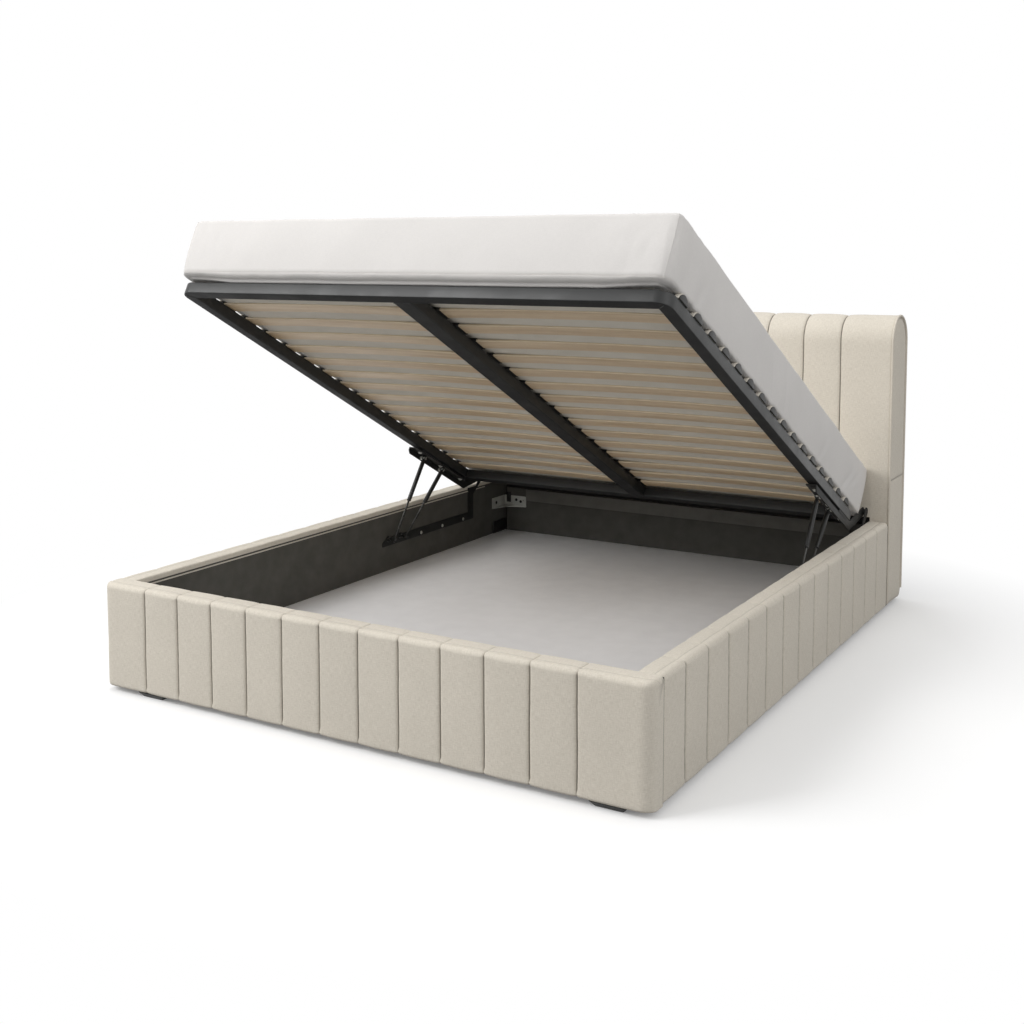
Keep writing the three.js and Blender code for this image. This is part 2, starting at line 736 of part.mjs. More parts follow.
// Gas strut: eye and pressure tube on the arm's stud, piston rod with its foot stud below
function strut(name, side, key) {
  const spec = strutSpecs[key];
  const x = side * (frameHalf - strutInset);
  const upper = new THREE.Vector3(x, -spec.along, -strutPivotDrop);
  upper.applyEuler(platform.rotation).add(platform.position);
  const lower = new THREE.Vector3(x, hingeY - spec.footReach, hingeHeight - strutFootDrop);
  const tubeProfile = [
    [0, strutNeckLength],
    [strutNeckRadius, strutNeckLength],
    [strutTubeRadius, strutNeckLength + strutNeckRadius],
    [strutTubeRadius, spec.tube - strutTubeChamfer],
    [strutTubeRadius - strutTubeChamfer, spec.tube],
    [strutBoreRadius, spec.tube],
    [strutBoreRadius, strutBoreFloor],
    [0, strutBoreFloor],
  ].map(([radius, along]) => new THREE.Vector2(radius, along));
  const tube = new THREE.LatheGeometry(tubeProfile, 14);
  tube.rotateX(Math.PI / 2);
  const neck = new THREE.CylinderGeometry(strutNeckRadius, strutNeckRadius, strutNeckLength + seat, 10);
  neck.rotateX(Math.PI / 2);
  neck.translate(0, 0, (strutNeckLength + seat) / 2);
  const eye = rodAlongX(strutEyeRadius, -strutEyeWidth / 2, strutEyeWidth / 2, 0, 0);
  const bore = rodAlongX(studRadius + pinClearance, -strutEyeWidth, strutEyeWidth, 0, 0);
  const cylinder = unionOf([tube, neck, eye].map(solidOf)).subtract(solidOf(bore));
  const aim = Math.atan2(lower.y - upper.y, lower.z - upper.z);
  const tubePart = addPart(bed, `strut_cylinder_${name}_${key}`, geometryOf(cylinder), "plastic");
  tubePart.position.copy(upper);
  tubePart.rotation.x = -aim;

  const rod = new THREE.CylinderGeometry(strutRodRadius, strutRodRadius, spec.rod, 12);
  rod.rotateX(Math.PI / 2);
  rod.translate(0, 0, -spec.rod / 2);
  const foot = rodAlongX(strutEyeRadius, -strutEyeWidth / 2, strutEyeWidth / 2, 0, 0);
  const plateFace = side * (plateInnerHalf - seat) - x;
  const stud = rodAlongX(footStudRadius, 0, plateFace, 0, 0);
  const flange = rodAlongX(footFlangeRadius, plateFace - side * footFlange, plateFace, 0, 0);
  const rodSolid = unionOf([rod, foot, stud, flange].map(solidOf));
  const rodPart = addPart(bed, `strut_rod_${name}_${key}`, geometryOf(rodSolid), "chrome");
  rodPart.position.copy(lower);
  rodPart.rotation.x = -aim;
}

// Mattress: rounded corners, crowned top and sides that swell between the edges
function mattressRing(inset, height) {
  const halfX = mattressWidth / 2 - inset;
  const foot = -frameLength - mattressFootOverhang + inset;
  const head = mattressHeadOverhang - inset;
  const radius = Math.max(mattressCornerRadius - inset, mattressInnerCorner);
  const corners = [
    [halfX - radius, foot + radius, -Math.PI / 2],
    [halfX - radius, head - radius, 0],
    [-halfX + radius, head - radius, Math.PI / 2],
    [-halfX + radius, foot + radius, Math.PI],
  ];
  const ring = [];
  corners.forEach(([x, y, start], corner) => {
    for (let step = 0; step <= mattressCornerSteps; step += 1) {
      const angle = start + (Math.PI / 2) * (step / mattressCornerSteps);
      ring.push(new THREE.Vector3(x + radius * Math.cos(angle), y + radius * Math.sin(angle), height));
    }
    const from = ring.at(-1);
    const [nextX, nextY, nextStart] = corners[(corner + 1) % corners.length];
    const to = new THREE.Vector3(
      nextX + radius * Math.cos(nextStart), nextY + radius * Math.sin(nextStart), height,
    );
    for (let step = 1; step < mattressSideSteps; step += 1) {
      ring.push(from.clone().lerp(to, step / mattressSideSteps));
    }
  });
  return ring;
}

function mattress() {
  const bottom = tubeHeight + seat + slatBow + slatThickness + seat;
  const rings = mattressSideShares.map(({ edge, swell, height }) => {
    const inset = edge * mattressEdgeRadius + swell * mattressBulge;
    return mattressRing(inset, bottom + height * mattressThickness);
  });
  for (const { inset, crown } of mattressTopShares) {
    const height = bottom + mattressThickness + crown * mattressCrown;
    rings.push(mattressRing((inset * mattressWidth) / 2, height));
  }
  addPart(platform, "mattress", loft(rings), "ticking");
}

// The platform stands open about its hinge line
platform.rotation.x = -liftAngle;
const hingeOnFrame = new THREE.Vector3(0, hingeBehindFrame, hingeAboveFrame);
hingeOnFrame.applyEuler(platform.rotation);
platform.position.set(0, hingeY, hingeHeight).sub(hingeOnFrame);

footRail();
headboard();
storageBox();
feet();
platformFrame();
slats();
mattress();
for (const [name, side] of Object.entries(sides)) {
  sideRail(name, side);
  cornerBracket(name, side);
  liftPlate(name, side);
  for (const key of Object.keys(strutSpecs)) {
    strut(name, side, key);
  }
}

export default bed;
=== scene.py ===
"""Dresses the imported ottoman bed: channelled upholstery, lifting slat frame, gas struts and mattress."""

import logging
import math
from collections.abc import Callable, Sequence
from dataclasses import dataclass, field
from enum import Enum

import bmesh
import bpy
import numpy as np
from mathutils import Matrix, Vector


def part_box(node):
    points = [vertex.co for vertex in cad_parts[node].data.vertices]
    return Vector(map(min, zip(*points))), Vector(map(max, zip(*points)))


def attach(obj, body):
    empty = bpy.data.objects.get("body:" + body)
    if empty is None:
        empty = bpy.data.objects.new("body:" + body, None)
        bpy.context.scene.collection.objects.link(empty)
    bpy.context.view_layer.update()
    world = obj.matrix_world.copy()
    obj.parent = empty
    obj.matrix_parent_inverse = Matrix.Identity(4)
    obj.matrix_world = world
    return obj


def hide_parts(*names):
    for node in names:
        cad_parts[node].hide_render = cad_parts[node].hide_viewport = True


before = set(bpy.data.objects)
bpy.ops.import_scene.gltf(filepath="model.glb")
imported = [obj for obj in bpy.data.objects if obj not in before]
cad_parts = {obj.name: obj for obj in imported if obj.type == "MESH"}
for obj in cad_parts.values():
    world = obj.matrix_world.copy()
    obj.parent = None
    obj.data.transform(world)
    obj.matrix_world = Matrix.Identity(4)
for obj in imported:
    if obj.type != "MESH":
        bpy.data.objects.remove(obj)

LOG = logging.getLogger("ottoman_bed")
Point = tuple[float, float]
Rgb = tuple[float, float, float]
Socket = bpy.types.NodeSocket
HALF_LENGTH = 1.1095  # half of the bed's length
SEAT = 0.0003  # the gap between touching pieces
SIDES = {"left": -1, "right": 1}
# stands a section, drawn as places along the bed and heights, across X
ACROSS_X = Matrix(((0, 0, 1, 0), (1, 0, 0, 0), (0, 1, 0, 0), (0, 0, 0, 1)))


# ---------------------------------------------------------------- shader graphs


class Graph:
    """Short calls for placing and joining shader nodes in one tree."""

    def __init__(self, tree: bpy.types.NodeTree) -> None:
        """Args: tree: the node tree that the nodes go into."""
        self.tree = tree

    def node(self, kind: str, inputs: dict | None = None, **settings: object) -> bpy.types.Node:
        """Adds one node.

        Args:
            kind: the node's Blender type name.
            inputs: values or sockets for its inputs, by name or number.
            settings: properties set on the node.

        Returns:
            The new node.
        """
        made = self.tree.nodes.new(kind)
        for key, value in settings.items():
            setattr(made, key, value)
        for key, value in (inputs or {}).items():
            self.feed(made.inputs[key], value)
        return made

    def feed(self, socket: Socket, value: object) -> None:
        """Joins a socket to an input, or writes a plain value into it."""
        if isinstance(value, Socket):
            self.tree.links.new(value, socket)
        else:
            socket.default_value = value

    def math(self, operation: str, a: object, b: object = 0.0, clamp: bool = False) -> Socket:
        """Returns the result socket of one Math node."""
        return self.node("ShaderNodeMath", {0: a, 1: b}, operation=operation, use_clamp=clamp).outputs[0]

    def weighted(self, a: object, a_share: object, b: object, b_share: object, clamp: bool = False) -> Socket:
        """Returns the sum of two values, each times its share."""
        return self.math("ADD", self.math("MULTIPLY", a, a_share), self.math("MULTIPLY", b, b_share), clamp)

    def scaled(self, vector: object, scale: Sequence[float]) -> Socket:
        """Returns the vector multiplied part by part."""
        return self.node("ShaderNodeVectorMath", {0: vector, 1: tuple(scale)}, operation="MULTIPLY").outputs[0]

    def noise(self, vector: object, scale: object, detail: float = 2.0, rough: float = 0.5) -> Socket:
        """Returns the grey value of a noise texture."""
        inputs = {"Vector": vector, "Scale": scale, "Detail": detail, "Roughness": rough}
        return self.node("ShaderNodeTexNoise", inputs).outputs["Fac"]

    def span(self, value: object, low: float, high: float, to_low: float = 0.0, to_high: float = 1.0) -> Socket:
        """Returns a value moved from one range to another, held at its ends."""
        inputs = {"Value": value, "From Min": low, "From Max": high, "To Min": to_low, "To Max": to_high}
        return self.node("ShaderNodeMapRange", inputs).outputs["Result"]

    def blend(self, factor: object, a: object, b: object) -> Socket:
        """Returns the mix of two colours."""
        return self.node("ShaderNodeMix", {"Factor": factor, 6: a, 7: b}, data_type="RGBA").outputs[2]


def colour(red: float, green: float, blue: float) -> tuple[float, float, float, float]:
    """Returns a linear colour for values as a screen shows them, from 0 to 255."""
    parts = (v / 255 for v in (red, green, blue))
    linear = tuple(v / 12.92 if v <= 0.04045 else ((v + 0.055) / 1.055) ** 2.4 for v in parts)
    return (*linear, 1.0)


def blank_material(name: str) -> bpy.types.Material:
    """Returns a material with an empty node tree."""
    made = bpy.data.materials.new(name)
    made.use_nodes = True
    made.node_tree.nodes.clear()
    return made


class Effects:
    """Shader groups that several finishes share, each built once."""

    def __init__(self) -> None:
        """Builds the groups for weave, moulded grain, timber and handling marks."""
        vector, grey = "NodeSocketVector", "NodeSocketFloat"
        self.weave = self._group("cloth_weave", {"Cloth": vector, "Threads": grey}, ("Height", "Tone"), self._weave)
        self.grain = self._group("fine_grain", {"Place": vector, "Size": grey}, ("Height", "Tone"), self._grain)
        self.timber = self._group("timber_figure", {"Grain": vector, "Seed": grey}, ("Height", "Tone", "Fleck"),
                                  self._timber)
        self.marks = self._group("handling_marks", {"Place": vector}, ("Edge", "Smear"), self._marks)

    @staticmethod
    def _group(name: str, inputs: dict[str, str], outputs: Sequence[str], fill: Callable) -> bpy.types.NodeTree:
        """Builds one group.

        Args:
            name: the group's name.
            inputs: socket name to socket type.
            outputs: names of its grey outputs.
            fill: places the nodes for the inputs and returns the sockets for the outputs.

        Returns:
            The group.
        """
        tree = bpy.data.node_groups.new(name, "ShaderNodeTree")
        for side, sockets in (("INPUT", inputs), ("OUTPUT", dict.fromkeys(outputs, "NodeSocketFloat"))):
            for key, kind in sockets.items():
                tree.interface.new_socket(name=key, in_out=side, socket_type=kind)
        graph = Graph(tree)
        entry = graph.node("NodeGroupInput")
        results = fill(graph, *(entry.outputs[key] for key in inputs))
        graph.node("NodeGroupOutput", dict(zip(outputs, results)))
        return tree

    @staticmethod
    def _weave(graph: Graph, cloth: Socket, threads: Socket) -> tuple[Socket, ...]:
        """Returns height and tone of a plain weave with uneven threads, for metres along the cloth."""
        drift = graph.noise(cloth, 90.0, 1.0)
        parts = graph.node("ShaderNodeSeparateXYZ", {0: cloth})
        turns = graph.math("MULTIPLY", threads, math.pi)
        waves = [graph.math("SINE", graph.weighted(parts.outputs[axis], turns, drift, 2.5)) for axis in (0, 1)]
        warp = graph.noise(graph.scaled(cloth, (620.0, 70.0, 1.0)), 1.0, 2.0, 0.6)
        weft = graph.noise(graph.scaled(cloth, (70.0, 620.0, 1.0)), 1.0, 2.0, 0.6)
        slub = graph.weighted(warp, 0.5, weft, 0.5)
        return graph.weighted(graph.math("MULTIPLY", *waves), 0.25, slub, 1.2), graph.span(slub, 0.36, 0.64)

    @staticmethod
    def _grain(graph: Graph, place: Socket, size: Socket) -> tuple[Socket, ...]:
        """Returns height and tone of a fine even grain, as on moulded plastic or powder coat."""
        cloud = graph.noise(place, graph.math("MULTIPLY", size, 0.02), 3.0, 0.55)
        return graph.noise(place, size, 3.0, 0.6), graph.span(cloud, 0.3, 0.7)

    @staticmethod
    def _timber(graph: Graph, grain: Socket, seed: Socket) -> tuple[Socket, ...]:
        """Returns height, tone and flecks of timber, for metres along and across the grain."""
        shift = graph.node("ShaderNodeCombineXYZ", {2: seed}).outputs[0]
        place = graph.node("ShaderNodeVectorMath", {0: grain, 1: shift}, operation="ADD").outputs[0]
        broad = graph.noise(graph.scaled(place, (3.0, 46.0, 9.0)), 1.0, 3.0, 0.55)
        fibre = graph.noise(graph.scaled(place, (26.0, 900.0, 9.0)), 1.0, 2.0, 0.6)
        fleck = graph.noise(graph.scaled(place, (60.0, 500.0, 9.0)), 1.0, 1.0, 0.5)
        tone = graph.span(graph.weighted(broad, 0.6, fibre, 0.4), 0.34, 0.66)
        return fibre, tone, graph.span(fleck, 0.68, 0.78)

    @staticmethod
    def _marks(graph: Graph, place: Socket) -> tuple[Socket, ...]:
        """Returns masks of handled edges and of faint smears."""
        edge = graph.span(graph.node("ShaderNodeNewGeometry").outputs["Pointiness"], 0.52, 0.62)
        broken = graph.span(graph.noise(place, 60.0, 4.0, 0.7), 0.35, 0.65)
        return graph.math("MULTIPLY", edge, broken), graph.span(graph.noise(place, 7.0, 3.0, 0.6), 0.4, 0.75)


@dataclass
class Finish:
    """One material round a Principled shader, of two colours; each kind paints it in its own way."""

    name: str
    main: Rgb
    second: Rgb

    def build(self, effects: Effects) -> bpy.types.Material:
        """Returns the painted material."""
        material = blank_material(self.name)
        self.effects, self.graph = effects, Graph(material.node_tree)
        self.shader = self.graph.node("ShaderNodeBsdfPrincipled")
        self.graph.node("ShaderNodeOutputMaterial", {0: self.shader.outputs[0]})
        self.place = self.graph.node("ShaderNodeTexCoord").outputs["Object"]
        self.paint()
        return material

    def paint(self) -> None:
        """Fills the shader in."""
        raise NotImplementedError

    def set(self, **values: object) -> None:
        """Writes values or sockets into the shader, with underscores for the blanks in socket names."""
        for key, value in values.items():
            self.graph.feed(self.shader.inputs[key.replace("_", " ")], value)

    def cloth(self) -> Socket:
        """Returns the coordinates laid along a piece's own surface, in metres."""
        return self.graph.node("ShaderNodeUVMap", uv_map="cloth").outputs[0]

    def effect(self, tree: bpy.types.NodeTree, **inputs: object) -> Sequence[Socket]:
        """Returns the outputs of a shared group with this material's own values."""
        return self.graph.node("ShaderNodeGroup", inputs, node_tree=tree).outputs

    def mixed(self, share: Socket) -> Socket:
        """Returns the second colour, with a share of the main one."""
        return self.graph.blend(share, colour(*self.second), colour(*self.main))

    def bump(self, height: Socket, depth: float) -> None:
        """Raises the surface by a height of up to depth, in metres."""
        made = self.graph.node("ShaderNodeBump", {"Height": height, "Distance": depth, "Strength": 1.0})
        self.set(Normal=made.outputs[0])


@dataclass
class WovenCloth(Finish):
    """Plain-weave cloth with a heathered yarn, painted darker along its sewn seams and joints as shade in their
    grooves.
    """

    threads: float = 620.0
    relief: float = 0.0004
    sheen: float = 0.12
    seam_shade_share: float = 0.66

    def paint(self) -> None:
        """Fills the shader in."""
        graph = self.graph
        weave = self.effect(self.effects.weave, Cloth=self.cloth(), Threads=self.threads)
        # the seam attribute holds painted shade for the grooves at seams and joints; sewn is the dark colour painted
        # there
        seam = graph.node("ShaderNodeAttribute", attribute_name="seam").outputs["Fac"]
        sewn = colour(*(part * self.seam_shade_share for part in self.second))
        base = graph.blend(seam, self.mixed(weave["Tone"]), sewn)
        tint = graph.span(graph.noise(self.place, 5.0, 3.0, 0.55), 0.3, 0.7, 0.97, 1.02)
        tinted = graph.node("ShaderNodeVectorMath", {0: base, "Scale": tint}, operation="SCALE").outputs[0]
        rough = graph.span(weave["Tone"], 0.0, 1.0, 0.96, 0.88)
        self.set(Base_Color=tinted, Roughness=rough, Sheen_Weight=self.sheen, Sheen_Roughness=0.6)
        self.set(Specular_IOR_Level=0.25)
        self.bump(weave["Height"], self.relief)


@dataclass
class Lining(Finish):
    """Dark bonded lining or felted cloth, with short fibres and faint cloudiness."""

    fibre: float = 900.0
    relief: float = 0.0002

    def paint(self) -> None:
        """Fills the shader in."""
        grain = self.effect(self.effects.grain, Place=self.place, Size=self.fibre)
        share = self.graph.weighted(grain["Height"], 0.5, grain["Tone"], 0.5)
        rough = self.graph.span(share, 0.0, 1.0, 0.95, 0.8)
        self.set(Base_Color=self.mixed(share), Roughness=rough, Specular_IOR_Level=0.3)
        self.bump(grain["Height"], self.relief)


@dataclass
class Coated(Finish):
    """Powder coat, moulded plastic or enamel, worn to its second colour at the edges.

    Where a colour is given for under, faces that look down in the piece's own axes take it and are duller: painted
    shade on undersides that little light reaches.
    """

    roughness: float = 0.5
    grain: float = 1400.0
    relief: float = 0.00012
    specular: float = 0.5
    under: Rgb | None = None

    def paint(self) -> None:
        """Fills the shader in."""
        graph = self.graph
        grain = self.effect(self.effects.grain, Place=self.place, Size=self.grain)
        marks = self.effect(self.effects.marks, Place=self.place)
        rubbed = graph.weighted(marks["Edge"], 0.55, grain["Tone"], 0.1, clamp=True)
        tone = graph.blend(rubbed, colour(*self.main), colour(*self.second))
        rough = graph.span(marks["Smear"], 0.0, 1.0, self.roughness + 0.1, self.roughness - 0.07)
        # painted shade: faces that look down take the darker under colour
        if self.under:
            facing = graph.node("ShaderNodeSeparateXYZ", {0: graph.node("ShaderNodeTexCoord").outputs["Normal"]})
            below = graph.span(facing.outputs["Z"], -0.8, -0.55, 1.0, 0.0)
            tone = graph.blend(below, tone, colour(*self.under))
            rough = graph.math("ADD", rough, graph.math("MULTIPLY", below, 0.35))
        self.set(Base_Color=tone, Roughness=rough, Specular_IOR_Level=self.specular)
        self.bump(grain["Height"], self.relief)


@dataclass
class Plated(Finish):
    """Zinc or chrome plating with spangle and dull patches."""

    roughness: float = 0.3
    metallic: float = 1.0
    spangle: float = 26.0

    def paint(self) -> None:
        """Fills the shader in."""
        graph = self.graph
        marks = self.effect(self.effects.marks, Place=self.place)
        spangle = graph.noise(graph.scaled(self.place, (self.spangle,) * 3), 1.0, 3.0, 0.6)
        rough = graph.weighted(marks["Smear"], 0.12, spangle, self.roughness * 1.4)
        self.set(Base_Color=self.mixed(graph.span(spangle, 0.35, 0.65)), Roughness=rough, Metallic=self.metallic)
        self.bump(spangle, 0.00005)


@dataclass
class BentBirch(Finish):
    """Clear-lacquered laminated birch, with its glue lines on the edges, and edges painted lighter: partly the birch's
    own pale edge, partly a painted highlight.
    """

    edge: Rgb = (240, 224, 196)
    fleck: Rgb = (120, 88, 58)
    glue: Rgb = (132, 100, 66)
    plies: float = 5.0

    def paint(self) -> None:
        """Fills the shader in."""
        graph = self.graph
        ply = graph.node("ShaderNodeAttribute", attribute_name="ply").outputs["Vector"]
        depth, seed = graph.node("ShaderNodeSeparateXYZ", {0: ply}).outputs[:2]
        figure = self.effect(self.effects.timber, Grain=self.cloth(), Seed=seed)
        fleck = graph.math("MULTIPLY", figure["Fleck"], 0.35)
        base = graph.blend(fleck, self.mixed(figure["Tone"]), colour(*self.fleck))
        step = graph.math("FRACT", graph.math("MULTIPLY", depth, self.plies))
        glue = graph.span(graph.math("ABSOLUTE", graph.math("SUBTRACT", step, 0.5)), 0.36, 0.5, 0.0, 0.55)
        # edges painted cream: partly the ply's own pale edge, partly a painted highlight where light catches them
        inside = graph.math("MULTIPLY", graph.span(depth, 0.01, 0.04), graph.span(depth, 0.96, 0.99, 1.0, 0.0))
        base = graph.blend(graph.math("MULTIPLY", inside, 0.75), base, colour(*self.edge))
        lines = graph.math("MULTIPLY", graph.math("MULTIPLY", glue, inside), 0.45)
        base = graph.blend(lines, base, colour(*self.glue))
        self.set(Base_Color=base, Roughness=graph.span(figure["Tone"], 0.0, 1.0, 0.52, 0.4))
        self.set(Coat_Weight=0.12, Coat_Roughness=0.35)
        self.bump(figure["Height"], 0.00012)


@dataclass
class Panel(Finish):
    """Plain light grey faced board with a very fine texture."""

    def paint(self) -> None:
        """Fills the shader in."""
        grain = self.effect(self.effects.grain, Place=self.place, Size=700.0)
        marks = self.effect(self.effects.marks, Place=self.place)
        rough = self.graph.span(marks["Smear"], 0.0, 1.0, 0.62, 0.5)
        self.set(Base_Color=self.mixed(grain["Tone"]), Roughness=rough, Specular_IOR_Level=0.4)
        self.bump(grain["Height"], 0.00008)


class Finishes:
    """Every finish of the bed."""

    def __init__(self) -> None:
        """Builds the shared effects and then each finish."""
        effects = Effects()
        self.upholstery = WovenCloth("upholstery", (221, 214, 201), (201, 193, 179)).build(effects)
        self.piping = WovenCloth("piping", (216, 209, 196), (200, 192, 178), 900.0, 0.0003).build(effects)
        self.lining = Lining("dark_lining", (92, 90, 85), (76, 75, 70)).build(effects)
        self.band = Lining("band_lining", (116, 114, 109), (100, 98, 93)).build(effects)
        self.backing = Lining("headboard_backing", (58, 57, 55), (40, 39, 38), 500.0, 0.0003).build(effects)
        self.floor_panel = Panel("storage_floor", (232, 231, 231), (227, 226, 226)).build(effects)
        self.plastic = Coated("black_plastic", (24, 24, 23), (44, 44, 42), 0.45, 900.0).build(effects)
        # the steel's undersides take painted shade
        self.steel = Coated("charcoal_powder_coat", (38, 39, 39), (62, 62, 61), 0.38, specular=0.4,
                            under=(10, 10, 10)).build(effects)
        self.lift_steel = Coated("black_powder_coat", (34, 34, 33), (62, 62, 60), specular=0.2).build(effects)
        self.strut_paint = Coated("strut_paint", (26, 26, 25), (52, 52, 50), 0.36, 500.0, 0.00003, 0.3).build(effects)
        self.zinc = Plated("zinc_plating", (198, 198, 192), (182, 182, 176), 0.6, 0.3).build(effects)
        self.chrome = Plated("steel_rod", (66, 66, 64), (54, 54, 52), 0.32, 0.4).build(effects)
        self.birch = BentBirch("bent_birch", (216, 194, 162), (190, 164, 130)).build(effects)
        self.cover = WovenCloth("mattress_cover", (218, 215, 212), (213, 210, 207), 1100.0, 0.0001, 0.06,
                                0.7).build(effects)
        self.underlay = Lining("mattress_underlay", (216, 210, 199), (202, 196, 184), 600.0, 0.0004).build(effects)


# ---------------------------------------------------------------- mesh making


def arc(centre: Point, radius: float, start: float, end: float, steps: int) -> list[Point]:
    """Returns points on an arc, with its angles in degrees."""
    angles = np.radians(np.linspace(start, end, steps + 1))
    return [(centre[0] + radius * math.cos(a), centre[1] + radius * math.sin(a)) for a in angles]


def bend(centre: Point, radius: float, start: float, end: float, count: int) -> np.ndarray:
    """Returns a number of rows, each a point on an arc and the way to its centre, with the angles in degrees."""
    angles = np.radians(np.linspace(start, end, count))
    ways = np.stack((np.cos(angles), np.sin(angles)), -1)
    return np.hstack((np.array(centre) + radius * ways, -ways))


def circle(centre: Point, radius: float, steps: int = 24) -> list[Point]:
    """Returns the points of a circle."""
    return arc(centre, radius, 0, 360 * (1 - 1 / steps), steps - 1)


def oblong(low: Point, high: Point) -> list[Point]:
    """Returns the corners of an oblong."""
    return [(low[0], low[1]), (high[0], low[1]), (high[0], high[1]), (low[0], high[1])]


def run(points: Sequence) -> np.ndarray:
    """Returns how far along their line each of some points lies."""
    lengths = np.linalg.norm(np.diff(np.asarray(points, float), axis=0), axis=1)
    return np.concatenate(([0.0], np.cumsum(lengths)))


def bunched(radius: float, steps: int = 6) -> np.ndarray:
    """Returns distances from radius down to 0, closer together towards 0, that part a rounded edge evenly."""
    return radius * (1 - np.sin(np.radians(np.linspace(0, 90, steps + 1))))


def merged(*marks: np.ndarray) -> np.ndarray:
    """Returns all marks in order, each once."""
    return np.unique(np.round(np.concatenate(marks), 6))


def facing(place: Sequence[float], way: Sequence[float]) -> Matrix:
    """Returns a place whose Z axis points along a way."""
    return Matrix.Translation(place) @ Vector(way).to_track_quat("Z", "Y").to_matrix().to_4x4()


def clean(mesh: bpy.types.Mesh, weld: float = 0.0, outward: bool = True) -> None:
    """Joins vertices closer together than weld, and turns all faces outward."""
    work = bmesh.new()
    work.from_mesh(mesh)
    if weld:
        bmesh.ops.remove_doubles(work, verts=work.verts, dist=weld)
    if outward:
        bmesh.ops.recalc_face_normals(work, faces=work.faces)
    work.to_mesh(mesh)
    work.free()


def rounded(points: Sequence[Point], radius: float, steps: int = 4) -> list[Point]:
    """Returns a closed outline with each of its corners rounded."""
    out: list[Point] = []
    count = len(points)
    for index, corner in enumerate(points):
        here = Vector(corner)
        before, after = Vector(points[index - 1]) - here, Vector(points[(index + 1) % count]) - here
        reach = min(radius, before.length * 0.45, after.length * 0.45)
        a, b = here + before.normalized() * reach, here + after.normalized() * reach
        for step in range(steps + 1):
            t = step / steps
            out.append(tuple(a * (1 - t) ** 2 + here * 2 * t * (1 - t) + b * t**2))
    return out


